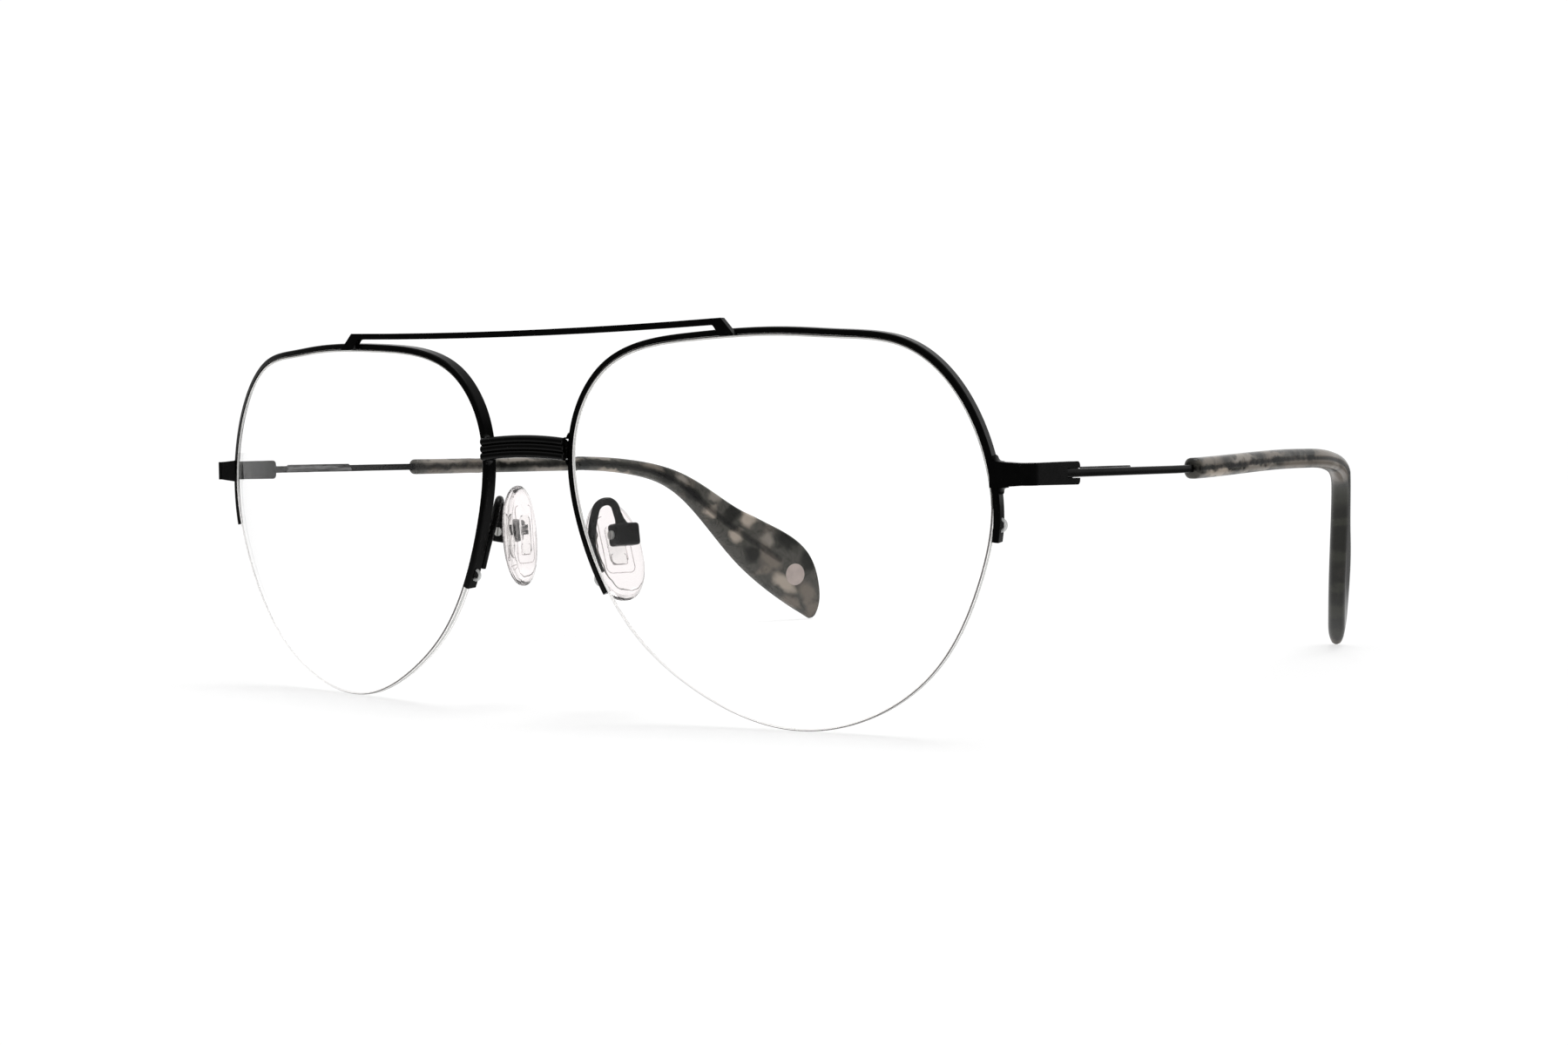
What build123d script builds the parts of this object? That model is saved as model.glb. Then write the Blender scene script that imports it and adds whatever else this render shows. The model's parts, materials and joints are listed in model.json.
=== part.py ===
from build123d import *
import os
from math import atan2, cos, pi, radians, sin, sqrt

# Semi-rimless aviator spectacles, in millimetres. +X is the wearer's left, -Y the way the wearer looks, +Z up.
# The left half is drawn with x = 0 on the mirror plane and mirrored for the right. At the end everything is
# moved so that the origin is the bottom centre of the box, with lens edges and temple tips standing on z = 0.

# ---- lenses
LENS_WIDTH = 57.5          # boxed width of one lens, in its own plane
LENS_HEIGHT = 48.5         # boxed height of one lens
BRIDGE_SPACE = 15.1        # shortest distance between the two lenses
LENS_THICKNESS = 1.3
BASE_RADIUS = 121.0        # front curve of the lens, about 4.4 dioptres
FACE_WRAP = 7.9            # degrees that each lens turns back towards its temple
PANTO_TILT = 4.8           # degrees that each lens leans in towards the cheeks
GROOVE_WIDTH = 0.6         # groove round the lens edge
GROOVE_DEPTH = 0.4
SEAT_GAP = 0.03            # room between pieces that seat in one another

# Lens outline, as shares of half its width and half its height: (towards the temple, up), anticlockwise.
LENS_OUTLINE = [
    (0.934, -0.232), (1.000, 0.201), (0.626, 0.928), (0.348, 0.978), (0.139, 0.996), (-0.334, 0.985),
    (-0.828, 0.826), (-0.965, 0.596), (-0.947, 0.001), (-0.666, -0.585), (-0.411, -0.814), (0.066, -0.999),
    (0.716, -0.681),
]

# ---- half rim, liner and nylon thread
RIM_WIDTH = 0.76           # seen from the front
RIM_DEPTH = 1.6            # front to back
RIM_PROUD = 0.12           # how far the rim stands in front of the lens
RIM_NASAL_END = 198.0      # degrees round the lens at which the rim stops beside the nose
RIM_TEMPORAL_END = -1.5    # and beside the temple
RIM_GROOVE = 0.3           # depth of the channel that holds the liner
RIM_EDGE = 0.22            # rounding of the rim's outer edges
THREAD_PROUD = 0.1         # how far the nylon thread stands out of the lens groove
LOOP_FROM_END = 2.0        # rim end to the middle of the thread's outer loop
LOOP_PITCH = 1.4           # between the two holes that the thread passes through
LOOP_THICK = 0.4
LINER_STOP = 4.2           # the liner stops this far before each rim end

# ---- brow bar
BROW_HALF = 31.6           # middle to the top outer corner
BROW_ABOVE = 2.02          # height of that corner above the tops of the lenses
BROW_SAG = 0.5             # the bar dips this much in the middle
BROW_HEIGHT = 0.78
BROW_DEPTH = 0.8
BROW_FRONT = -1.4
BROW_LEG_WIDTH = 2.3
BROW_LEG_RUN = 2.1         # sideways travel of the slanting leg
BROW_LEG_LAP = 0.18        # how far its foot reaches down over the rim
BROW_CORNER = 0.6          # rounding where the leg meets the bar's underside

# ---- bridge
BRIDGE_HALF = 7.0
BRIDGE_SHARE = 0.7144      # height of its middle line at the rims, as a share of the lens height
BRIDGE_ARCH = 0.4
BRIDGE_RIB = 0.95          # height of one of the three ribs
BRIDGE_RIBS = 3
BRIDGE_BLEND = 0.03        # how far each rib runs into the next
BRIDGE_FRONT = -2.55
BRIDGE_DEPTH = 1.15

# ---- end pieces and hinges
END_REACH = 5.26           # from the end piece's inner end to the outer face of the temple block
HINGE_SHARE = 0.64845      # height of the hinge's middle, as a share of the lens height
END_FRONT = 7.0            # front face of the end piece at its corner
END_CORNER = 1.5
END_THICK = 1.35
END_TALL = 3.1             # where it lies over the rim
END_LOW = 2.6              # at the corner
END_LAP_IN = 0.1           # how far inside the lens edge it ends on the rim
END_LAP = 0.75             # how much further forward it lies there
END_LONG = 1.4             # front face to the seam with the temple block
SEAM_GAP = 0.08
HINGE_IN = 2.46            # outer face of the block to the hinge's middle
HINGE_BACK = 3.0           # front face of the end piece to the hinge's middle
BARREL_RADIUS = 1.1
BARREL_TALL = 2.6
KNUCKLE_MIDDLE = 1.0       # height of the temple's knuckle
KNUCKLE_GAP = 0.05
SCREW_RADIUS = 0.45
SCREW_GAP = 0.05           # running room round the screw
SCREW_HEAD_RADIUS = 0.8
SCREW_HEAD = 0.4
SLOT_WIDE = 0.16           # driver slots
SLOT_DEEP = 0.2

# ---- temples
TEMPLE_DROP = 0.5          # degrees that the temple runs downhill
BLOCK_THICK = 1.2
BLOCK_LONG = 10.0
BLOCK_TALL = 2.78          # at its rear end
BLOCK_CORNER = 0.6
WIRE = 1.0                 # thickness of the temple wire
WIRE_IN_BLOCK = 3.1        # length of the open slot that holds the wire
WIRE_SLOT_GAP = 0.08
PLATE_START = 10.8         # bare plate on the inner side of the wire, from the hinge
PLATE_LONG = 13.1
PLATE_TALL = 1.15
PLATE_UP = 0.12            # above the wire's middle
PLATE_THICK = 0.35
PLATE_SLOPE = 0.75         # run of its slanting rear end
SLEEVE_START = 37.7        # hinge to the front of the acetate sleeve
SLEEVE_TALL = 2.45
SLEEVE_THICK = 2.3
SLEEVE_EDGE = 0.9
EAR_BEND = 78.0            # hinge to the start of the inward curve
EAR_RADIUS = 56.0
EAR_TURN = 23.0            # degrees
TIP_DISC_RADIUS = 1.85
TIP_DISC_THICK = 0.25
TIP_DISC_PROUD = 0.06      # how far it stands out of the sleeve
TIP_DISC_BACK = 26.5       # from the end of the inward curve to the disc
TIP_DISC_UP = -21.7

# Sleeve seen from the side, from where it leaves the straight: (behind the ear bend, above the temple's axis).
SLEEVE_TOP = [(12.4, 0.60), (22.8, -1.80), (35.4, -9.40), (43.4, -13.40), (48.2, -17.30), (50.6, -24.0)]
SLEEVE_UNDER = [(12.3, -2.00), (20.8, -4.40), (27.5, -10.40), (35.2, -19.50), (43.2, -26.20)]
SLEEVE_TIP = (49.0, -30.15)
TIP_ROUND = 1.3
CORE_LINE = [(12.4, -0.70), (21.5, -3.40), (29.5, -9.80), (42.0, -18.60)]

# ---- nose pads
PAD_OUT = 3.05             # lens edge at its narrowest to the pivot
PAD_BACK = 5.8             # pivot behind the brow line
PAD_SHARE = 0.4866         # height of the pivot, as a share of the lens height
PAD_TALL = 13.4
PAD_WIDE = 8.0
PAD_THICK = 1.8
PAD_SPLAY = 17.0           # degrees that the pads open towards the wearer
PAD_LEAN = 8.5             # degrees that the pads lean together at the top, in the middle of their rock
PAD_REST = {"left": 12.0, "right": -12.0}   # each pad lies rocked to its own side
PAD_BELOW_PIVOT = 1.3
PAD_FROM_PIVOT = 1.75      # pivot to the back of the pad
BOX_LONG = 3.6             # along the screw
BOX_TALL = 2.9
BOX_DEEP = 2.3
BOX_WALL = 0.85            # cheeks of the box
BOX_EDGE = 0.45
POCKET_TALL = 2.1
LUG_RADIUS = 0.65          # round lug on the pad's mount
LUG_GAP = 0.08
PAD_SCREW_RADIUS = 0.35
PAD_SCREW_GAP = 0.04
PAD_SCREW_HEAD = 0.58
PAD_SCREW_HEAD_THICK = 0.35
PAD_SCREW_END = 0.3        # how far the shank stands out at the back
MOUNT_TALL = 5.2           # plate of the mount inside the pad
MOUNT_WIDE = 2.6
MOUNT_THICK = 0.5
ARM_RADIUS = 0.52
ARM_FOOT = (192.0, 184.5)  # degrees round the lens between which the arm is soldered behind the rim
ARM_SINK = 0.15            # how far it is let into the rim there
# The rest of the pad arm, from the pivot: rise, loop over the top, and down into the box.
ARM_RUN = [(-1.85, -3.9, 1.7), (-1.75, -2.9, 4.7), (-0.5, -1.3, 4.1), (-0.1, -0.45, 1.0)]
ARM_BENDS = [6.0, 5.0, 1.6, 1.3]



def sag(distance):
    """Depth of the lens curve this far from its middle."""
    return BASE_RADIUS - sqrt(BASE_RADIUS**2 - distance**2)


# ---- worked out from the above
TOOL = 200.0               # longer than anything that it cuts
LENS_MID = LENS_THICKNESS / 2
LENS_TOP = LENS_HEIGHT * cos(radians(PANTO_TILT)) + THREAD_PROUD
LENS_SIDE = BRIDGE_SPACE / 2 + LENS_WIDTH * cos(radians(FACE_WRAP))
BROW_TOP = LENS_TOP + BROW_ABOVE
BRIDGE_MIDDLE = BRIDGE_SHARE * LENS_HEIGHT
END_IN = LENS_SIDE - END_LAP_IN
TEMPLE_OUT = END_IN + END_REACH
TEMPLE_HEIGHT = HINGE_SHARE * LENS_HEIGHT
SEAM = END_FRONT + END_LONG
HINGE_X = TEMPLE_OUT - HINGE_IN
HINGE_Y = END_FRONT + HINGE_BACK
PAD_PIVOT = (BRIDGE_SPACE / 2 + PAD_OUT, PAD_BACK, PAD_SHARE * LENS_HEIGHT)


def lens_frame():
    """Plane of the left lens: x towards the temple, y up, z out of its front."""
    wrap, tilt = radians(FACE_WRAP), radians(PANTO_TILT)
    middle_x = (BRIDGE_SPACE / 2 + LENS_WIDTH / 2 * cos(wrap) + sag(LENS_WIDTH / 2) * sin(wrap))
    middle_z = LENS_HEIGHT / 2 * cos(tilt) - sag(LENS_HEIGHT / 2) * sin(tilt) + THREAD_PROUD
    across = (cos(wrap), sin(wrap), 0)
    ahead = (cos(tilt) * sin(wrap), -cos(tilt) * cos(wrap), -sin(tilt))
    return Plane(origin=(middle_x, -0.4, middle_z), x_dir=across, z_dir=ahead)


LENS_FRAME = lens_frame()


LENS_CURVE = Edge.make_spline([(LENS_WIDTH / 2 * a, LENS_HEIGHT / 2 * b) for a, b in LENS_OUTLINE], periodic=True)


def along(share):
    """Point and outward normal at a share of the lens outline's length."""
    point, ahead = LENS_CURVE @ (share % 1.0), LENS_CURVE % (share % 1.0)
    return point, Vector(ahead.Y, -ahead.X)


def outline(grow=0.0):
    """The area inside the lens outline, grown outwards by a distance."""
    grown = []
    for a, b in LENS_OUTLINE:
        node = Vector(LENS_WIDTH / 2 * a, LENS_HEIGHT / 2 * b)
        ahead = LENS_CURVE % LENS_CURVE.param_at_point(node)
        grown.append(node + Vector(ahead.Y, -ahead.X) * grow)
    return make_face(Edge.make_spline(grown, periodic=True))


def share_at(angle):
    """Share of the outline's length at which a ray from the lens middle meets it."""
    low, high = 0.0, 1.0
    start = atan2((LENS_CURVE @ 0).Y, (LENS_CURVE @ 0).X)
    goal = (radians(angle) - start) % (2 * pi)
    for _ in range(40):
        middle = (low + high) / 2
        point = LENS_CURVE @ middle
        if (atan2(point.Y, point.X) - start) % (2 * pi) < goal:
            low = middle
        else:
            high = middle
    return low


def ball(depth):
    """Sphere whose front lies this far behind the front of the lens; its poles are off the glass."""
    return Pos(0, 0, -BASE_RADIUS) * Rot(90, 0, 0) * Sphere(BASE_RADIUS - depth)


def curved_slab(area, front, back):
    """The part of an upright prism between two depths of the lens curve, in the lens frame."""
    return (extrude(area, 16, both=True) & ball(front)) - ball(back)


def rim_stretch(short=0.0):
    """Area of the lens plane that the half rim covers, stopping short of both its ends."""
    corners = []
    for share, sense in ((share_at(RIM_TEMPORAL_END), 1), (share_at(RIM_NASAL_END), -1)):
        point, out = along(share + sense * short / LENS_CURVE.length)
        corners.append((point - out * LENS_HEIGHT / 4, point + out * RIM_WIDTH * 4))
    (inner_t, outer_t), (inner_n, outer_n) = corners
    far = LENS_WIDTH
    rest = [(-far, outer_n.Y), (-far, far), (far, far), (far, outer_t.Y)]
    return make_face(Polyline([inner_t, inner_n, outer_n] + rest + [outer_t], close=True))


def thread_holes():
    """For each rim end: the two points of the outline at which the thread goes out through the rim."""
    ends = []
    for angle, sense in ((RIM_TEMPORAL_END, 1), (RIM_NASAL_END, -1)):
        share = share_at(angle) + sense * LOOP_FROM_END / LENS_CURVE.length
        ends.append(along(share))
    return ends


def loop_frame(point, out):
    """Frame of a thread loop at the middle of the lens edge: x out of the lens along its curve, z ahead."""
    ahead = Vector(point.X, point.Y, sqrt(BASE_RADIUS**2 - point.length**2)) * (1 / BASE_RADIUS)
    start = Vector(0, 0, -BASE_RADIUS) + ahead * (BASE_RADIUS - LENS_MID)
    return Plane(origin=start, x_dir=(out.X, out.Y, 0), z_dir=ahead)


def thread_loops(radius, past_rim=0.0):
    """The thread's outer loops: two legs through the rim and a half ring that joins them, or the holes alone."""
    pieces = []
    for point, out in thread_holes():
        frame = loop_frame(point, out)
        long = RIM_WIDTH + GROOVE_DEPTH / 2 + past_rim
        for side in (-1, 1):
            leg = Pos(long / 2 - GROOVE_DEPTH / 2, side * LOOP_PITCH / 2) * (Rot(0, 90, 0) * Cylinder(radius, long))
            pieces.append(frame * leg)
        if not past_rim:
            ring = Torus(LOOP_PITCH / 2, radius) & Pos(LOOP_PITCH, 0, 0) * Box(2 * LOOP_PITCH, TOOL, TOOL)
            pieces.append(frame * (Pos(RIM_WIDTH, 0, 0) * ring))
    return pieces


# ---------------------------------------------------------------- pieces of the front, in the lens frame

def lens():
    blank = curved_slab(outline(), 0, LENS_THICKNESS)
    edge = outline(1) - outline(-GROOVE_DEPTH)
    return blank - curved_slab(edge, LENS_MID - GROOVE_WIDTH / 2, LENS_MID + GROOVE_WIDTH / 2)


def rim():
    """Half rim of drawn wire with a channel inside, and two thread holes near each end."""
    back = RIM_DEPTH - RIM_PROUD
    band = curved_slab(outline(RIM_WIDTH) - outline(SEAT_GAP), -RIM_PROUD, back)
    band = fillet(band.edges().sort_by(SortBy.LENGTH)[-2:], RIM_EDGE)
    band = band & extrude(rim_stretch(), 20, both=True)
    channel = outline(RIM_GROOVE + SEAT_GAP) - outline(-1)
    half = GROOVE_WIDTH / 2
    band = band - curved_slab(channel, LENS_MID - half, LENS_MID + half)
    for leg in thread_loops(LOOP_THICK / 2 + SEAT_GAP, past_rim=RIM_WIDTH):
        band = band - leg
    return band


def rim_seat():
    """Everything within the half rim's outer side, for cutting the pieces that are brazed to it."""
    return curved_slab(outline(RIM_WIDTH), -RIM_PROUD, RIM_DEPTH - RIM_PROUD)


def rim_liner():
    """Nylon strip that fills the channels of rim and lens."""
    half = GROOVE_WIDTH / 2 - SEAT_GAP
    strip = curved_slab(outline(RIM_GROOVE) - outline(SEAT_GAP - GROOVE_DEPTH), LENS_MID - half, LENS_MID + half)
    return strip & extrude(rim_stretch(LINER_STOP), 20, both=True)


def lens_thread():
    """Nylon thread in the groove below the lens, looped out through the holes at both rim ends."""
    half = GROOVE_WIDTH / 2 - SEAT_GAP
    strand = curved_slab(outline(THREAD_PROUD) - outline(SEAT_GAP - GROOVE_DEPTH), LENS_MID - half, LENS_MID + half)
    strand = strand - extrude(rim_stretch(LOOP_FROM_END + LOOP_PITCH / 2 + LOOP_THICK), 20, both=True)
    for loop in thread_loops(LOOP_THICK / 2):
        strand = strand + loop
    return strand


# ---------------------------------------------------------------- pieces of the front, in the whole frame

def arc_bar(half, height, rise, tall):
    """Upright area of a bar whose middle line rises or dips by an arc between its ends."""
    low, high = height - tall / 2, height + tall / 2
    top = ThreePointArc((-half, high), (0, high + rise), (half, high))
    under = ThreePointArc((half, low), (0, low + rise), (-half, low))
    return make_face([top, Line((half, high), (half, low)), under, Line((-half, low), (-half, high))])


def upright(area, front, depth):
    """Carries an area drawn in x and z back from a front plane."""
    return extrude(Plane(origin=(0, front, 0), x_dir=(1, 0, 0), z_dir=(0, -1, 0)) * area, -depth)


def brow_bar(rims):
    """Flat bar with slanting ends that lap over the fronts of both rims."""
    middle = BROW_TOP - BROW_HEIGHT / 2
    area = arc_bar(BROW_HALF, middle, -BROW_SAG, BROW_HEIGHT)
    for side in (-1, 1):
        top, foot = BROW_HALF, BROW_HALF + BROW_LEG_RUN
        floor = LENS_TOP - BROW_LEG_LAP
        leg = Polyline([(side * top, BROW_TOP), (side * foot, floor), (side * (foot - BROW_LEG_WIDTH), floor),
                        (side * (top - BROW_LEG_WIDTH + BROW_LEG_RUN / 3), BROW_TOP - BROW_HEIGHT / 2),
                        (side * (top - BROW_LEG_WIDTH), BROW_TOP - BROW_HEIGHT / 2)], close=True)
        area = area + make_face(leg)
    corners = area.vertices().sort_by(Axis.Y)[4:6]
    area = fillet(corners, BROW_CORNER)
    bar = upright(area, BROW_FRONT, BROW_DEPTH)
    for piece in rims:
        bar = bar - piece
    return bar


def bridge(rims):
    """Saddle of three arched ribs on a common back, with both ends lapped over the rims."""
    tall = BRIDGE_RIB * BRIDGE_RIBS
    back = upright(arc_bar(BRIDGE_HALF, BRIDGE_MIDDLE, BRIDGE_ARCH, tall - BRIDGE_RIB / 2),
                   BRIDGE_FRONT + BRIDGE_RIB / 2, BRIDGE_DEPTH - BRIDGE_RIB / 2)
    body = back
    for count in range(BRIDGE_RIBS):
        height = BRIDGE_MIDDLE + (count - (BRIDGE_RIBS - 1) / 2) * BRIDGE_RIB
        path = ThreePointArc((-BRIDGE_HALF, BRIDGE_FRONT + BRIDGE_RIB / 2, height),
                             (0, BRIDGE_FRONT + BRIDGE_RIB / 2, height + BRIDGE_ARCH),
                             (BRIDGE_HALF, BRIDGE_FRONT + BRIDGE_RIB / 2, height))
        body = body + sweep(Plane(path @ 0, z_dir=path % 0) * Circle(BRIDGE_RIB / 2 + BRIDGE_BLEND), path=path)
    for piece in rims:
        body = body - piece
    return body


def end_piece(rims):
    """Lug that laps over the rim, turns the corner and stops at the seam in front of the temple."""
    inner, back = TEMPLE_OUT - BLOCK_THICK, END_FRONT + END_THICK
    turn = TEMPLE_OUT - END_CORNER
    plan = Polyline([(END_IN, END_FRONT - END_LAP), (turn, END_FRONT), (TEMPLE_OUT, END_FRONT), (TEMPLE_OUT, SEAM),
                     (inner, SEAM), (inner, back), (HINGE_X - BARREL_RADIUS, back),
                     (END_IN + RIM_WIDTH, back - END_LAP / 2), (END_IN, END_FRONT + END_LAP)], close=True)
    lug = extrude(make_face(plan), TEMPLE_HEIGHT * 2)
    corner = lug.edges().filter_by(Axis.Z).sort_by(Axis.X)[-2:].sort_by(Axis.Y)[0]
    lug = fillet(corner, min(END_CORNER, SEAM - END_FRONT - SEAM_GAP))
    low, high = TEMPLE_HEIGHT - END_LOW / 2, TEMPLE_HEIGHT + END_LOW / 2
    flare = (END_TALL - END_LOW) / 2
    front = Polyline([(END_IN, low - flare), (turn, low), (TEMPLE_OUT, low), (TEMPLE_OUT, high), (turn, high),
                      (END_IN, high + flare)], close=True)
    lug = lug & upright(make_face(front), 0, TOOL)
    for piece in rims:
        lug = lug - piece
    return lug


# ---------------------------------------------------------------- hinge

def at_hinge(shape, height=0.0):
    return Pos(HINGE_X, HINGE_Y, TEMPLE_HEIGHT + height) * shape


def screw_shape(room=0.0):
    """Hinge screw, or the hole for it, from the head on top to the end of its shank."""
    top = BARREL_TALL / 2
    shank = Pos(0, 0, -SCREW_HEAD / 2) * Cylinder(SCREW_RADIUS + room, BARREL_TALL - SCREW_HEAD)
    head = Pos(0, 0, top - SCREW_HEAD / 2) * Cylinder(SCREW_HEAD_RADIUS + room, SCREW_HEAD)
    return shank + head


def hinge_screw():
    slot = Pos(0, 0, BARREL_TALL / 2) * Box(3 * SCREW_HEAD_RADIUS, SLOT_WIDE, 2 * SLOT_DEEP)
    return at_hinge(screw_shape() - slot)


def knuckle(middle, tall, web_box):
    """Barrel of one knuckle with the web that joins it to its carrier."""
    barrel = Cylinder(BARREL_RADIUS, tall)
    (x_low, y_low), (x_high, y_high) = web_box
    web = Pos((x_low + x_high) / 2, (y_low + y_high) / 2, 0) * Box(x_high - x_low, y_high - y_low, tall)
    return Pos(0, 0, middle) * (barrel + web)


def front_knuckles(lug):
    """Upper and lower knuckle, brazed behind the end piece."""
    tall = (BARREL_TALL - KNUCKLE_MIDDLE) / 2 - KNUCKLE_GAP
    half = BARREL_RADIUS * 0.75
    web_box = ((-half, END_FRONT + END_THICK - HINGE_Y - 0.1), (half, 0))
    pair = [knuckle(side * (BARREL_TALL - tall) / 2, tall, web_box) for side in (-1, 1)]
    pair = at_hinge(pair[0] + pair[1] - screw_shape(SEAT_GAP))
    return pair - lug


def temple_knuckle(block):
    """Middle knuckle, brazed to the inner face of the temple block."""
    web_box = ((0, 0), (TEMPLE_OUT - BLOCK_THICK - HINGE_X + 0.1, BARREL_RADIUS * 1.5))
    one = at_hinge(knuckle(0, KNUCKLE_MIDDLE, web_box) - Cylinder(SCREW_RADIUS + SCREW_GAP, BARREL_TALL))
    return one - block


# ---------------------------------------------------------------- temple, seen from the side with y back and z up

TEMPLE_FRAME = Pos(0, HINGE_Y, TEMPLE_HEIGHT) * Rot(-TEMPLE_DROP, 0, 0)
WIRE_MIDDLE = TEMPLE_OUT - WIRE / 2


def side_view(face):
    """Prism through the whole temple from an area drawn as (back, up), in the temple's frame."""
    return extrude(Plane(origin=(0, 0, 0), x_dir=(0, 1, 0), z_dir=(1, 0, 0)) * face, TOOL)


def plan_band(start, half, middle):
    """Prism from the temple's plan: a straight band, the ear curve and the straight run behind it."""
    turn = radians(EAR_TURN)
    centre = (middle - EAR_RADIUS, EAR_BEND)
    inner, outer = EAR_RADIUS - half, EAR_RADIUS + half
    run = (-TOOL * sin(turn), TOOL * cos(turn))
    end_out = (centre[0] + outer * cos(turn), centre[1] + outer * sin(turn))
    end_in = (centre[0] + inner * cos(turn), centre[1] + inner * sin(turn))
    far_out, far_in = (end_out[0] + run[0], end_out[1] + run[1]), (end_in[0] + run[0], end_in[1] + run[1])
    path = [
        Line((middle + half, start), (middle + half, EAR_BEND)),
        CenterArc(centre, outer, 0, EAR_TURN),
        Line(end_out, far_out), Line(far_out, far_in), Line(far_in, end_in),
        CenterArc(centre, inner, EAR_TURN, -EAR_TURN),
        Line((middle - half, EAR_BEND), (middle - half, start)),
        Line((middle - half, start), (middle + half, start)),
    ]
    return Pos(0, 0, -TOOL / 2) * extrude(make_face(path), TOOL)


def temple_block():
    """Front end of the temple, with an open slot for the wire at its rear."""
    front, rear = SEAM + SEAM_GAP - HINGE_Y, SEAM + SEAM_GAP - HINGE_Y + BLOCK_LONG
    face = make_face(Polyline([(front, -END_LOW / 2), (rear, -BLOCK_TALL / 2), (rear, BLOCK_TALL / 2),
                               (front, END_LOW / 2)], close=True))
    face = fillet(face.vertices().sort_by(Axis.X)[-2:], BLOCK_CORNER)
    block = side_view(face) & Pos(TEMPLE_OUT - BLOCK_THICK / 2, 0, 0) * Box(BLOCK_THICK, TOOL, TOOL)
    slot_tall = WIRE + 2 * WIRE_SLOT_GAP
    slot = Pos(TEMPLE_OUT, rear, 0) * Box(2 * (WIRE + SEAT_GAP), 2 * WIRE_IN_BLOCK, slot_tall)
    return TEMPLE_FRAME * (block - slot)


def core_side(room):
    """Side view of the wire: straight, then bent down inside the sleeve."""
    start = SEAM + SEAM_GAP - HINGE_Y + BLOCK_LONG - WIRE_IN_BLOCK
    bend = [(EAR_BEND + back, up) for back, up in CORE_LINE]
    half = WIRE / 2 + room
    last = Vector(*bend[-1]) - Vector(*bend[-2])
    across = Vector(-last.Y, last.X) * (half / last.length)
    top = [(EAR_BEND, half)] + [(y, z + half * 1.1) for y, z in bend[:-1]] + [Vector(*bend[-1]) + across]
    under = [(EAR_BEND, -half)] + [(y, z - half * 1.1) for y, z in bend[:-1]] + [Vector(*bend[-1]) - across]
    return make_face([
        Line((start, half), top[0]), Spline(top, tangents=[(1, 0), last]),
        Line(top[-1], under[-1]), Spline(list(reversed(under)), tangents=[-last, (-1, 0)]),
        Line(under[0], (start, -half)), Line((start, -half), (start, half)),
    ])


def temple_wire(room=0.0):
    band = plan_band(0, WIRE / 2 + room, WIRE_MIDDLE)
    return side_view(core_side(room)) & band


def sleeve_side():
    """Side view of the acetate sleeve: straight bar, ear bend, widening blade and rounded tip."""
    half = SLEEVE_TALL / 2
    top = [(EAR_BEND, half)] + [(EAR_BEND + back, up) for back, up in SLEEVE_TOP]
    under = [(EAR_BEND, -half)] + [(EAR_BEND + back, up) for back, up in SLEEVE_UNDER]
    tip = (EAR_BEND + SLEEVE_TIP[0], SLEEVE_TIP[1])
    tip_rise = Vector(*tip) + Vector(TIP_ROUND, TIP_ROUND)
    slope = Vector(*tip) - Vector(*under[-1])
    return make_face([
        Line((SLEEVE_START, half), top[0]),
        Spline(top + [(tip_rise.X, tip_rise.Y)], tangents=[(1, 0), (-0.35, -1)]),
        TangentArc((tip_rise.X, tip_rise.Y), (tip[0], tip[1]), tangent=(-0.35, -1)),
        Spline([(tip[0], tip[1])] + list(reversed(under)), tangents=[-slope, (-1, 0)]),
        Line(under[0], (SLEEVE_START, -half)),
        Line((SLEEVE_START, -half), (SLEEVE_START, half)),
    ])


def temple_sleeve():
    """Acetate sleeve and tip, rounded all along, with the wire's channel inside."""
    body = side_view(sleeve_side()) & plan_band(0, SLEEVE_THICK / 2, WIRE_MIDDLE)
    body = fillet(body.edges(), SLEEVE_EDGE)
    return body - temple_wire(SEAT_GAP)


def tip_disc():
    """Bare round inlay in the inner face of the tip."""
    turn, inner = radians(EAR_TURN), EAR_RADIUS - SLEEVE_THICK / 2
    x = WIRE_MIDDLE - EAR_RADIUS + inner * cos(turn) - TIP_DISC_BACK * sin(turn)
    y = EAR_BEND + inner * sin(turn) + TIP_DISC_BACK * cos(turn)
    face = Plane(origin=(x, y, TIP_DISC_UP), x_dir=(0, 0, 1), z_dir=(cos(turn), sin(turn), 0))
    return face * (Pos(0, 0, TIP_DISC_THICK / 2 - TIP_DISC_PROUD) * Cylinder(TIP_DISC_RADIUS, TIP_DISC_THICK))


def marking_plate():
    """Bare strip soldered to the inner side of the wire, with a slanting rear end."""
    low, high, rear = PLATE_UP - PLATE_TALL / 2, PLATE_UP + PLATE_TALL / 2, PLATE_START + PLATE_LONG
    face = make_face(Polyline([(PLATE_START, low), (rear, low), (rear - PLATE_SLOPE, high), (PLATE_START, high)],
                              close=True))
    face = fillet(face.vertices(), PLATE_TALL / 6)
    inside = TEMPLE_OUT - WIRE
    strip = side_view(face) & Pos(inside - PLATE_THICK / 2, 0, 0) * Box(PLATE_THICK, TOOL, TOOL)
    return TEMPLE_FRAME * strip


# ---------------------------------------------------------------- nose pads

def pad_frame(side):
    """Frame of the left pad at its pivot: x up the pad, y along the screw towards the wearer, z to the nose."""
    splay, lean = radians(PAD_SPLAY), radians(PAD_LEAN + PAD_REST[side])
    up = (-sin(lean) * cos(splay), sin(lean) * sin(splay), cos(lean))
    screw = Vector(sin(splay), cos(splay), 0)
    return Plane(origin=PAD_PIVOT, x_dir=up, z_dir=Vector(*up).cross(screw))


def box_frame():
    splay, lean = radians(PAD_SPLAY), radians(PAD_LEAN)
    up = Vector(-sin(lean) * cos(splay), sin(lean) * sin(splay), cos(lean))
    screw = Vector(sin(splay), cos(splay), 0)
    return Plane(origin=PAD_PIVOT, x_dir=up, z_dir=up.cross(screw))


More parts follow.
